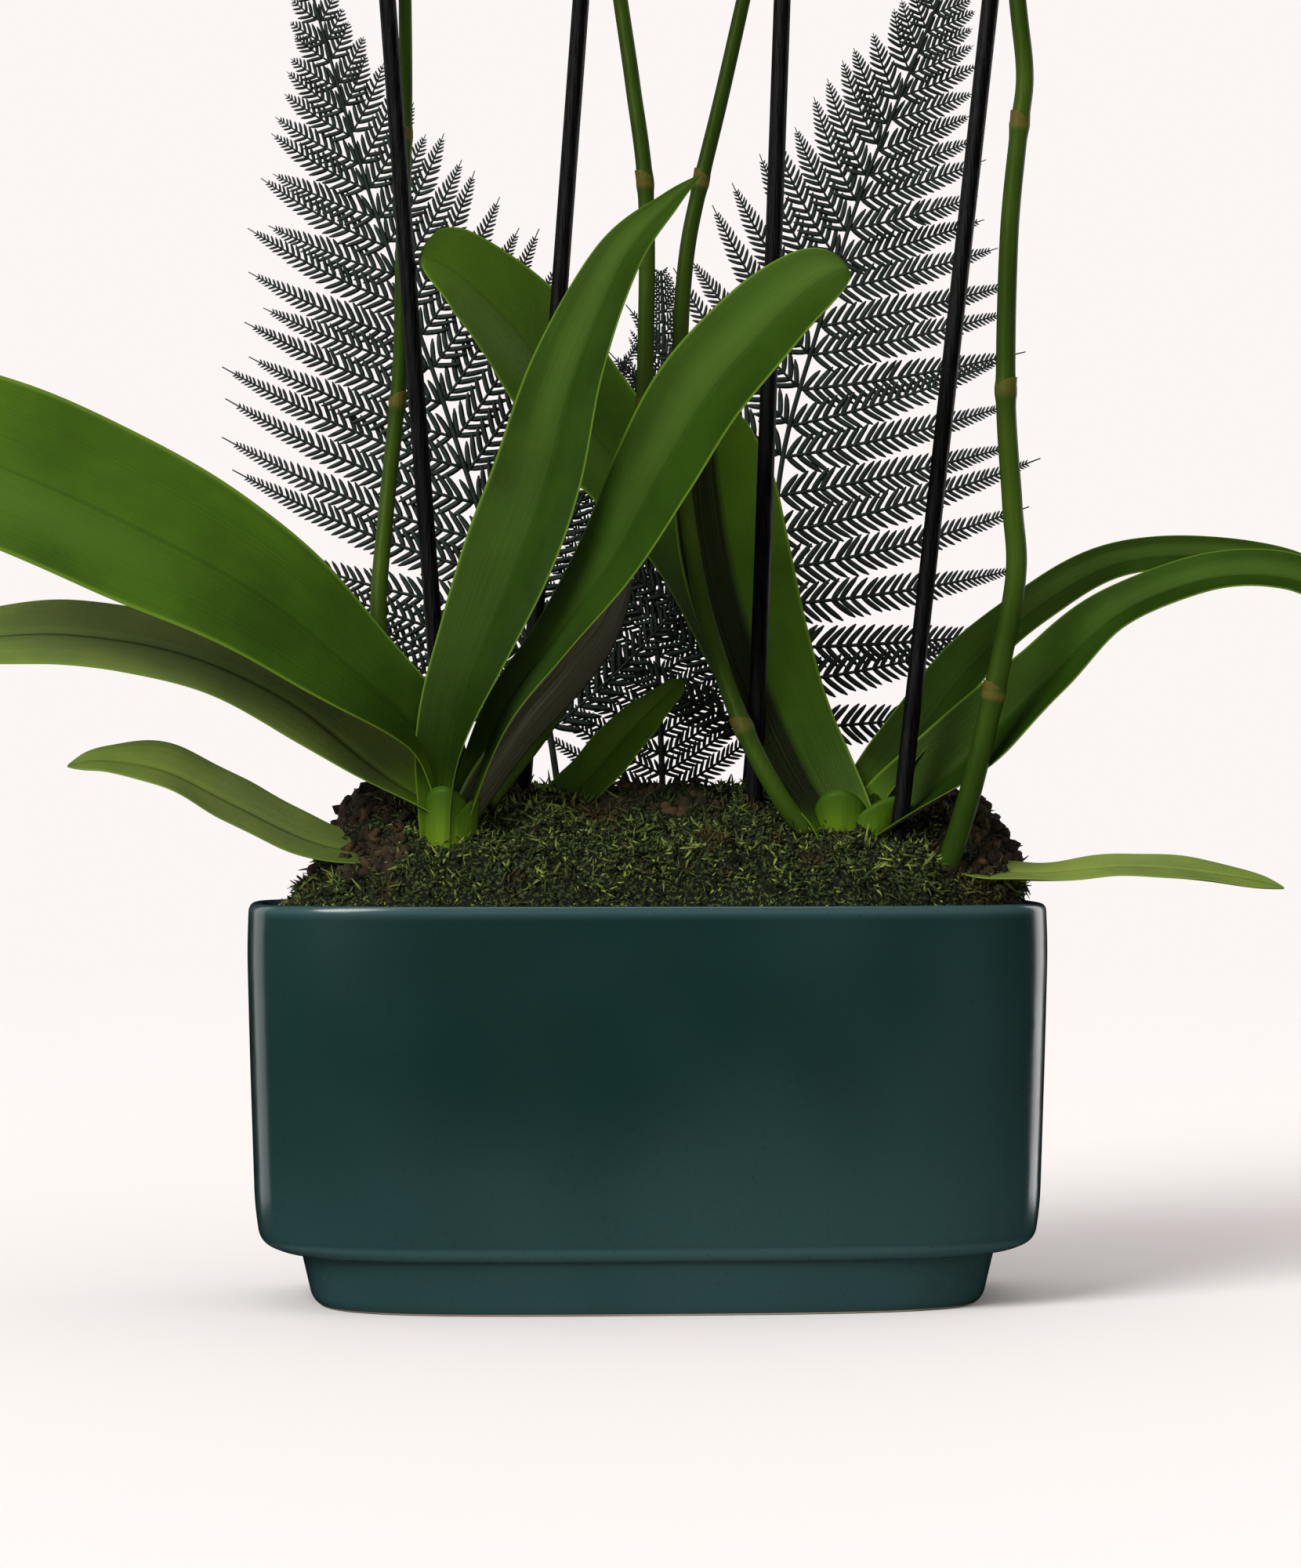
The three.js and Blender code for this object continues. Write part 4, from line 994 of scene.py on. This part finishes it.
def stem_paint(name, main, ring, streaks=0.6, top=None):
    """Green with fine streaks along the stem, tan at the rings and pale on the buds. With a
    top colour, it turns to that over the upper half."""
    paint = Paint(name)
    tone = paint.value("tone")
    streak = paint.noise(90, 3, (4, 4, 0.4))
    colour = paint.layer(main, "1a2c07", streak, 0.3, 0.7, 0, streaks)
    colour = paint.layer(colour, "3c5114", paint.noise(18), 0.35, 0.7, 0, 0.4)
    if top:
        colour = paint.layer(colour, top, paint.value("along"), 0.45, 0.95)
    apart = paint.math("ABSOLUTE", paint.math("SUBTRACT", tone, RING_TONE))
    tan = paint.math("SUBTRACT", 1.0, apart)
    colour = paint.layer(colour, ring, tan, 0.5, 0.95, 0, 0.85)
    colour = paint.layer(colour, "b9bf86", tone, 0.7, 1)
    return paint.finish(colour, 0.45, paint.bump(streak, 0.0004), 0.12, Specular_Tint=GREEN_GLOSS)


class PLANTING_OT_stems(Operator):
    """Make the crowns and the flower stems with their stalks and buds"""

    bl_idname = "planting.stems"
    bl_label = "Crowns and flower stems"

    def execute(self, context):
        settings = context.scene.planting.stem
        crown = stem_paint("crown", settings.crown, settings.ring, 0.3, "2b440a")
        stem = stem_paint("stem", settings.green, settings.ring)
        for node, spec in CROWNS.items():
            name = node.replace("crown_", "leaf_bases_")
            new_piece(name, crown_skin(**spec), STEM_VALUES, crown, [node])
        for node, spec in SPIKES.items():
            name = node.replace("spike_", "flower_stem_")
            new_piece(name, spike_skin(**spec), STEM_VALUES, stem, [node])
        return {"FINISHED"}


def stake_skin(foot, top):
    """A round stake with a bevelled top and a pointed foot."""
    t = np.array([0, 0.01, 0.03, *np.linspace(0.05, 0.99, 60), 0.9965, 0.999, 1])
    radius = STAKE_RADIUS * np.interp(t, [0, 0.05, 0.996, 0.999, 1], [0.25, 1, 1, 0.93, 0.75])
    path = lerp(np.array(foot, float), np.array(top, float), t[:, None])
    return tube(path, radius, 28, [0, 1, 0])


def clip_skin(stake, stem):
    """A plastic clip: a band of rounded rectangular section round both rods, drawn in
    between them, with two finger tabs."""
    stake, stem = np.array(stake, float), np.array(stem, float)
    apart = np.linalg.norm(stem - stake)
    way = (stem - stake) / apart
    other = np.array([-way[1], way[0]])
    middle = (stake + stem) / 2
    reach = STAKE_RADIUS + 1.3
    c, s = circle(96)
    along = c * (apart / 2 + reach)
    wide = signed_power(s, 0.62) * reach * (1 - 0.28 * bell(along, 0, apart * 0.22))
    line = middle + along[:, None] * way + wide[:, None] * other
    ahead = np.roll(line, -1, 0) - np.roll(line, 1, 0)
    outward = unit(np.stack([ahead[:, 1], -ahead[:, 0]], -1))
    c, s = [signed_power(v, 0.6) for v in circle(16)]
    x, y = np.moveaxis(line[:, None] + outward[:, None] * (0.75 * c)[:, None], -1, 0)
    parts = [skins(joined(x, y, CLIP_HEIGHT + 2.3 * s)[None], ends=False)]
    for sign in (-1, 1):
        root = np.array([*(middle + other * sign * reach * 0.6), CLIP_HEIGHT])
        path = root + np.array([*(other * sign), 0.0]) * np.linspace(0, 4.2, 10)[:, None]
        parts.append(tube(path, np.linspace(1.3, 0.8, 10), 12, [0, 0, 1]))
    return together(*parts)


def stake_paint():
    """Black with a fine grain along the stake."""
    paint = Paint("stake")
    grain = paint.noise(300, 3, (6, 6, 0.3))
    colour = paint.layer("030303", "0c0b0c", grain, 0.35, 0.7)
    rough = paint.between(grain, 0.3, 0.7, 0.36, 0.5)
    return paint.finish(colour, rough, paint.bump(grain, 0.0003), 0.12)


def clip_paint():
    """Dark green-grey moulded plastic."""
    paint = Paint("clip")
    mottle = paint.noise(400)
    colour = paint.layer("1b1f1b", "262b25", mottle, 0.3, 0.7)
    return paint.finish(colour, 0.48, paint.bump(mottle, 0.0001))


class PLANTING_OT_supports(Operator):
    """Make the stakes and the clips that hold the flower stems to them"""

    bl_idname = "planting.supports"
    bl_label = "Stakes and clips"

    def execute(self, context):
        stake, clip = stake_paint(), clip_paint()
        for node, ends in STAKES.items():
            new_piece(node.replace("stake_", "rod_"), stake_skin(*ends), (), stake, [node])
        for node, rods in CLIPS.items():
            new_piece(node.replace("clip_", "stem_clip_"), clip_skin(*rods), (), clip, [node])
        return {"FINISHED"}


# ---- Fern fronds ----

# reach is the longest side branch, slant its angles to the axis at the lowest and at the top,
# and share the number of pairs as a share of the usual one
FRONDS = {
    "frond_left": dict(
        path=[
            [-23, 30, 120], [-34, 36, 194], [-47, 40, 230], [-60, 42, 269],
            [-71, 42, 302], [-90, 40, 355], [-105, 36, 407], [-113, 32, 436],
        ],
        left=dict(reach=92, slant=[66, 46], curl=0.22),
        right=dict(reach=84, slant=[66, 46], curl=0.2),
        power=1.3,
    ),
    "frond_right": dict(
        path=[
            [29, 32, 120], [36, 38, 202], [41, 42, 240], [46, 44, 276],
            [56, 44, 311], [70, 42, 356], [87, 38, 398], [103, 32, 438],
        ],
        left=dict(reach=78, slant=[72, 44], curl=0.2),
        right=dict(reach=94, slant=[84, 44], curl=0.1),
        power=1.1,
    ),
    "frond_middle": dict(
        path=[[7, 38, 120], [4, 46, 202], [2, 52, 241], [4, 56, 277], [6, 58, 308], [5, 57, 334]],
        left=dict(reach=56, slant=[68, 45], curl=0.2),
        right=dict(reach=56, slant=[68, 45], curl=0.2),
        share=1.3, power=1.05,
    ),
}
BRANCHES_FROM = 0.17  # share of the axis below the lowest side branch
LONGEST_AT = 0.25  # share of the side branches up to the longest
CROWDING = 1.4  # power by which the side branches crowd towards the tip
LEAFLETS_TO = 0.95  # share of a side branch that bears leaflets
FALL = 0.94  # how much shorter the leaflets would be at the very tip, as a share
FRONT = np.array([0.0, -1.0, 0.0])
BARE_TONE = 0.2  # of the axis and the side branches
FROND_SEED = 60


def branch_length(share, power):
    """Length of a side branch as a share of the longest, from the lowest to the tip: it rises
    evenly to 1 at LONGEST_AT and then falls to 0.06 as a power of the share left."""
    rise = lerp(0.8, 1, share / LONGEST_AT)
    fall = lerp(0.06, 1, np.clip((1 - share) / (1 - LONGEST_AT), 0, 1) ** power)
    return np.where(share < LONGEST_AT, rise, fall)


def frond_skin(settings, path, left, right, power, seed, share=1.0):
    """A frond: a tapering axis, slanting side branches that bend up towards its tip and, on
    both sides of each, leaflets that shrink towards the branch's bare tail. The branches'
    places are 1 - (1 - order)^1.4, so the gap between them falls as (1 - order)^0.4."""
    random = np.random.default_rng(seed)
    t = np.linspace(0, 1, 90)
    centre, _, length = spline(path, t)
    parts = [tube(centre, lerp(1.2, 0.45, t), 10, [0, 1, 0.1], BARE_TONE)]
    pairs = int(settings.pairs * share)
    order = (np.arange(pairs) + 0.5) / pairs
    gap = CROWDING * (1 - order) ** (CROWDING - 1) * length * (1 - BRANCHES_FROM) / pairs
    longest = settings.fullness * gap + 0.3
    for sign, spec in ((1, left), (-1, right)):
        jitter = random.uniform(-0.1, 0.1, pairs) / pairs
        at = np.clip(1 - (1 - order) ** CROWDING + jitter, 0, 1)
        root, tangent, _ = spline(path, lerp(BRANCHES_FROM, 0.992, at))
        aside = sign * unit(np.cross(FRONT, tangent))
        reach = spec["reach"] * branch_length(at, power) * random.uniform(0.9, 1.06, pairs)
        slant = np.radians(lerp(*spec["slant"], at) + random.uniform(-4, 4, pairs))[:, None]
        way = tangent * np.cos(slant) + aside * np.sin(slant)
        curl = tangent * (spec["curl"] + random.uniform(-0.05, 0.05, (pairs, 1))) - [0, 0, 0.02]
        curl = curl + FRONT * random.uniform(-0.1, 0.16, (pairs, 1))
        parts.append(branch_skin(root, way, curl, reach))
        parts.append(leaflet_skin(root, way, curl, reach, longest, random))
    return together(*parts)


def branch_point(root, way, curl, reach, w):
    """Place on a side branch at share w: root + reach (w way + w^2 curl)."""
    w = w[..., None]
    return root[:, None] + reach[:, None, None] * (w * way[:, None] + w**2 * curl[:, None])


def branch_skin(root, way, curl, reach):
    """The side branches: the radius falls as the cube of the share along."""
    w = np.linspace(0, 1, 12)[None]
    radius = (0.3 + 0.004 * reach)[:, None] * (1 - 0.65 * w**3)
    return tube(branch_point(root, way, curl, reach, w), radius, 5, [0, 1, 0.1], BARE_TONE)


def leaflet_skin(root, way, curl, reach, longest, random):
    """Leaflets: flat closed strips with blunt tips, in two rows on each side branch. At share
    w of the branch the length is 1 - 0.94 w^2 of the longest, and the pitch is 0.5 mm and a
    third of the length, which is widest - shrink w^2. That puts the leaflet at share n of
    them all where w is tanh(n end) / ratio, ratio being the root of shrink over widest and
    end the inverse tanh of LEAFLETS_TO times ratio. Along a leaflet at share v the half width
    is (1 - v^5)^0.5 of 0.29 of the pitch, less at the foot, and the leaflet curves towards
    the branch's tip by v^2."""
    shrink = (FALL * longest / 3)[:, None]
    widest = (0.5 + longest / 3)[:, None]
    ratio = np.sqrt(shrink / widest)
    end = np.arctanh(LEAFLETS_TO * ratio)
    many = np.round(reach[:, None] * end / np.sqrt(shrink * widest))
    step = np.arange(int(many.max()))
    there = step < many
    order = (step + 0.45 + random.uniform(-0.1, 0.1, there.shape)) / many
    w = np.minimum(np.tanh(order * end) / ratio, 0.99)
    at = branch_point(root, way, curl, reach, w)[there][:, None]
    ahead = unit(way[:, None] + 2 * w[..., None] * curl[:, None])[there]
    size = longest[:, None] * (1 - FALL * w**2) * ease(-0.2, 0.06, w)
    size = (size * random.uniform(0.95, 1.05, size.shape))[there][:, None]
    pitch = (widest - shrink * w**2)[there][:, None]
    thin = 0.12 + 0.008 * size
    v = np.linspace(0, 1, 6)
    blunt = np.sqrt(1 - np.minimum(v, 0.985) ** 5) * lerp(0.75, 1, ease(0, 0.25, v))
    half = np.minimum(0.29 * pitch, 0.2 * size + 0.25) * blunt
    parts = []
    for sign in (-1, 1):
        aside = sign * unit(np.cross(FRONT, ahead))
        angle = np.radians(52 + random.uniform(-3, 3, size.shape))
        long_way = ahead * np.cos(angle) + aside * np.sin(angle)
        wide_way = ahead * np.sin(angle) - aside * np.cos(angle)
        face = np.cross(long_way, wide_way) + 0.15 * random.normal(size=long_way.shape) * [1, 0, 1]
        wide_way = unit(np.cross(unit(face), long_way))
        face = unit(np.cross(long_way, wide_way))
        mid = at + long_way[:, None] * (size * v)[..., None]
        mid = mid + ahead[:, None] * (0.16 * size * v * v)[..., None]
        wide = wide_way[:, None] * half[..., None]
        deep = face[:, None] * (thin * blunt)[..., None]
        rings = np.stack([mid + wide, mid + deep, mid - wide, mid - deep], 2)
        parts.append(skins(with_values(rings, random.random(len(mid))[:, None, None])))
    return together(*parts)


def fern_paint(settings):
    """Dark green, greyer on some leaflets, with a fine dark mottle."""
    paint = Paint("fern")
    colour = paint.layer(settings.green, "24302a", paint.value("tone"), 0, 1, 0, 0.7)
    colour = paint.layer(colour, "0d130d", paint.noise(240), 0.4, 0.7, 0, 0.4)
    return paint.finish(colour, 0.7, paint.bump(paint.noise(900), 0.0002), 0.25)


class PLANTING_OT_fronds(Operator):
    """Make the fern fronds"""

    bl_idname = "planting.fronds"
    bl_label = "Fern fronds"

    def execute(self, context):
        settings = context.scene.planting.frond
        paint = fern_paint(settings)
        for i, (node, spec) in enumerate(FRONDS.items()):
            skin = frond_skin(settings, seed=FROND_SEED + i, **spec)
            new_piece(node.replace("frond_", "fern_"), skin, ("tone",), paint, [node])
        return {"FINISHED"}


# ---- Flowers ----

# In the flower's own frame, +x to its right, +y up and +z the way it looks: [angle of the
# part about z, length, half width, way its tip bends back, lift, base, widest, tip]
TEPALS = [
    [90, 29, 9.2, -4, 0, 0.22, 0.55, 2.0],
    [214, 28, 9.2, -4, 0, 0.22, 0.55, 2.0],
    [326, 28, 9.2, -4, 0, 0.22, 0.55, 2.0],
    [13, 31, 16.5, -1, 2.6, 0.1, 0.56, 1.9],
    [167, 31, 16.5, -1, 2.6, 0.1, 0.56, 1.9],
]
PETAL, LIP, COLUMN, CALLUS = 0.0, 1.0, 2.0, 3.0
LOOK = np.array([0.0, 0.0, 1.0])
FLOWER_SEED = 200
ROLL_SEED = 300


def tepal_skin(random, seed, way, length, half, back, lift, *outline):
    """A sepal or petal on a path out from the flower's middle, at a slightly random angle."""
    angle = np.radians(way + random.uniform(-2.5, 2.5))
    out = np.array([np.cos(angle), np.sin(angle), 0])
    tip = back + random.uniform(-0.8, 0.8)
    path = [out * length * s + LOOK * (lift + z) for s, z in ((0.04, -1.2), (0.5, 1.3), (1, tip))]
    return blade(
        path, [LOOK, LOOK], channel=0.07, thick=1.0, rows=26, count=28, profile=(half, *outline),
        groove=0.18, wave=0.35, seed=seed * 7 + way,
    )


def flower_skin(seed):
    """A moth orchid flower in its own frame: three sepals, two broad petals, a lip of three
    lobes with a callus and two tendrils, and a column with its cap."""
    random = np.random.default_rng(seed)
    parts = [(tepal_skin(random, seed, *tepal), PETAL) for tepal in TEPALS]
    middle = np.array([[0, -1.5, 1.5], [0, -5.5, 6], [0, -9.5, 9.5], [0, -11.5, 12.5]])
    parts.append((blade(
        middle, [[0, 0.9, 0.5], [0, 0.8, 0.6]], channel=-0.12, thick=0.9, rows=22, count=20,
        profile=(4.6, 0.35, 0.5, 1.2), groove=0.2,
    ), LIP))
    for side in (-1, 1):
        lobe = [[side * 1.6, -2, 2], [side * 5.4, -3, 5], [side * 7, 0.6, 7.6]]
        parts.append((blade(
            lobe, [[-side, 0.4, 0.6], [-side, 0.1, 0.3]], channel=0.2, thick=0.8, rows=16, count=16,
            profile=(3.6, 0.4, 0.6, 2.0), groove=0.1,
        ), LIP))
        t = np.linspace(0, 1, 18)
        up, out = -11.5 + 4.2 * t - 3 * t * t, 12.4 + 1.8 * np.sin(np.pi * t) - 1.5 * t
        tendril = joined(side * (0.6 + 3.2 * t), up, out)
        parts.append((tube(tendril, lerp(0.42, 0.16, t), 8, [0.2, 0.1, 1], t, 0, 0), LIP))
    t = np.linspace(0, 1, 16)
    column = joined(0, 1.2 + 1.6 * t - 2.6 * t * t, -1.5 + 9 * t)
    girth = np.interp(t, [0, 0.7, 0.9, 1], [1.9, 2.4, 2.1, 0.9])
    parts.append((tube(column, girth, 16, [1, 0.1, 0], t, 0, 0), COLUMN))
    callus = joined(0, -2.4 - 1.6 * t, 2.6 + 3 * t)
    girth = np.interp(t, [0, 0.5, 1], [0.6, 1.5, 0.5])
    parts.append((tube(callus, girth, 12, [1, 0, 0], t, 0, 0), CALLUS))
    return together(*[(with_values(points, part), *faces) for (points, *faces), part in parts])


def petal_paint(settings):
    """Crisp white with faint veins and a green-gold throat. The lip is rose with paler
    streaks, yellow at its foot, the column is pale and the callus yellow."""
    paint = Paint("petal")
    along, across, under, part = [paint.value(v) for v in (*BLADE_VALUES, "part")]
    at = paint.vector(paint.times(across, 14), paint.times(along, 1.2), part)
    veins = paint.grain(at, 1.5)
    white = paint.layer(settings.petal, "d9d6c4", veins, 0.45, 0.7, 0, 0.28)
    white = paint.layer(white, "c9cf86", along, 0, 0.28, 0.55, 0)
    white = paint.mix(paint.times(under, 0.18), white, "cfd3ae")
    rose = paint.layer(settings.lip, "e9b7c6", veins, 0.4, 0.62)
    rose = paint.layer(rose, settings.throat, along, 0.15, 0.5, 0.8, 0)
    colour = paint.layer(white, rose, part, 0.4, 0.6)
    colour = paint.layer(colour, "efe6ea", part, 1.4, 1.6)
    colour = paint.layer(colour, settings.throat, part, 2.4, 2.6)
    height = paint.math("ADD", veins, paint.times(paint.noise(1600), 0.4))
    return paint.finish(
        colour, 0.55, paint.bump(height, 0.0002, 0.6), 0.3,
        Subsurface_Weight=0.15, Subsurface_Radius=(0.004, 0.004, 0.003),
    )


class PLANTING_OT_flowers(Operator):
    """Make the flowers"""

    bl_idname = "planting.flowers"
    bl_label = "Flowers"

    def execute(self, context):
        paint = petal_paint(context.scene.planting.flower)
        centres = [flower[1] for spec in SPIKES.values() for flower in spec["flowers"]]
        for i, centre in enumerate(centres):
            points, *faces = flower_skin(FLOWER_SEED + i)
            roll = np.radians(np.random.default_rng(ROLL_SEED + i).uniform(-7, 7))
            look = flower_way(centre)
            level = unit(np.cross([0, 0, 1], look))
            upright = np.cross(look, level)
            right = level * np.cos(roll) + upright * np.sin(roll)
            up = upright * np.cos(roll) - level * np.sin(roll)
            places = centre + points[:, :3] @ np.array([right, up, look])
            skin = (np.hstack([places, points[:, 3:]]), *faces)
            values = (*BLADE_VALUES, "part")
            new_piece(f"bloom_{i + 1}", skin, values, paint, [f"flower_{i + 1}"])
        return {"FINISHED"}


# ---- Stage ----

EYE = [1.5, -1510.0, 163.6]  # where the view is from, before the planting's turn
LENS = 108.4  # focal length for a sensor as wide as SENSOR
SENSOR = 36
FLOOR_RADIUS = 3  # in metres, as all of the stage
FLOOR_HEIGHT = -0.0002
# Lights that show only in gloss: [place, aim, width, height, power]
SOFT_BOXES = {
    "left_box": [(-1.1, 1.0, 0.4), (0, 0, 0.1), 0.7, 1.2, 2.5],
    "right_box": [(1.2, 0.9, 0.4), (0, 0, 0.1), 0.6, 1.2, 6],
    "top_box": [(-0.2, -0.6, 2.0), (0, 0, 0.15), 1.6, 0.8, 12],
}


def stage_object(name, data, place, aim=None):
    """Puts a light, a camera or a mesh in its place, looking at aim."""
    thing = bpy.data.objects.new(name, data)
    bpy.context.scene.collection.objects.link(thing)
    thing.location = Vector(place)
    if aim is not None:
        thing.rotation_euler = (Vector(aim) - Vector(place)).to_track_quat("-Z", "Y").to_euler()
    return thing


def soft_box(name, place, aim, wide, tall, power):
    """An area light that only gloss shows."""
    data = bpy.data.lights.new(name, "AREA")
    data.shape, data.size, data.size_y, data.energy = "RECTANGLE", wide, tall, power
    light = stage_object(name, data, place, aim)
    light.visible_camera = False
    light.visible_diffuse = False


def floor_paint():
    """A pale floor that fades out with its distance from the planting."""
    paint = Paint("floor")
    tree = paint.tree
    distance = paint.add("ShaderNodeVectorMath", {0: paint.place}, output="Value", operation="LENGTH")
    paint.finish(paint.layer("d8d5d3", "c8c4c2", paint.noise(40), 0, 1, 0, 0.02), 0.7, gloss=0.1)
    clear = tree.nodes.new("ShaderNodeBsdfTransparent").outputs[0]
    solid = paint.shader.outputs[0]
    share = paint.between(distance, 0.7, 2.6)
    blend = paint.add("ShaderNodeMixShader", {0: share, 1: solid, 2: clear})
    tree.links.new(blend, tree.nodes["Material Output"].inputs["Surface"])
    return paint.material


class PLANTING_OT_stage(Operator):
    """Make the floor, the light and the camera"""

    bl_idname = "planting.stage"
    bl_label = "Stage"

    def execute(self, context):
        scene = context.scene
        mesh = bpy.data.meshes.new("floor")
        c, s = circle(96)
        rim = joined(FLOOR_RADIUS * c, FLOOR_RADIUS * s, 0)
        mesh.from_pydata(rim.tolist(), [], [list(range(len(rim)))])
        mesh.materials.append(floor_paint())
        floor = stage_object("floor", mesh, (0, 0, FLOOR_HEIGHT))
        floor.visible_glossy = False
        world = bpy.data.worlds.new("studio")
        world.use_nodes = True
        background = world.node_tree.nodes["Background"]
        background.inputs["Color"].default_value = (*linear("fcf6f5"), 1)
        world.cycles_visibility.glossy = False
        scene.world = world
        sun = bpy.data.lights.new("key", "SUN")
        sun.energy, sun.angle = 3.6, np.radians(30)
        stage_object("key", sun, (-3, -3, 2.7), (0, 0, 0))
        for name, box in SOFT_BOXES.items():
            soft_box(name, *box)
        data = bpy.data.cameras.new("camera")
        data.lens, data.sensor_width = LENS, SENSOR
        camera = stage_object("camera", data, turned(EYE) * MM)
        camera.rotation_euler = (np.radians(90), 0, TURN)
        scene.camera = camera
        scene.view_settings.view_transform = "Standard"
        return {"FINISHED"}


OPERATORS = (
    PLANTING_OT_stage,
    PLANTING_OT_planter,
    PLANTING_OT_moss,
    PLANTING_OT_leaves,
    PLANTING_OT_stems,
    PLANTING_OT_supports,
    PLANTING_OT_fronds,
    PLANTING_OT_flowers,
)


class PLANTING_PT_panel(Panel):
    """Lists the settings and the pieces of the planting"""

    bl_idname = "PLANTING_PT_panel"
    bl_label = "Orchid and fern planting"
    bl_space_type = "VIEW_3D"
    bl_region_type = "UI"
    bl_category = "Planting"

    def draw(self, context):
        planting = context.scene.planting
        for group in ("planter", "moss", "leaf", "stem", "frond", "flower"):
            box = self.layout.box()
            settings = getattr(planting, group)
            for name in settings.bl_rna.properties.keys():
                if name not in ("rna_type", "name"):
                    box.prop(settings, name)
        for operator in OPERATORS:
            self.layout.operator(operator.bl_idname)


SETTINGS = (
    PlanterSettings,
    MossSettings,
    LeafSettings,
    StemSettings,
    FrondSettings,
    FlowerSettings,
    PlantingSettings,
)
CLASSES = (*SETTINGS, *OPERATORS, PLANTING_PT_panel)


def register():
    for kind in CLASSES:
        bpy.utils.register_class(kind)
    bpy.types.Scene.planting = PointerProperty(type=PlantingSettings)


def unregister():
    del bpy.types.Scene.planting
    for kind in reversed(CLASSES):
        bpy.utils.unregister_class(kind)


def main():
    register()
    for operator in OPERATORS:
        group, name = operator.bl_idname.split(".")
        getattr(getattr(bpy.ops, group), name)()
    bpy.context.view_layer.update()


if __name__ == "__main__":
    main()
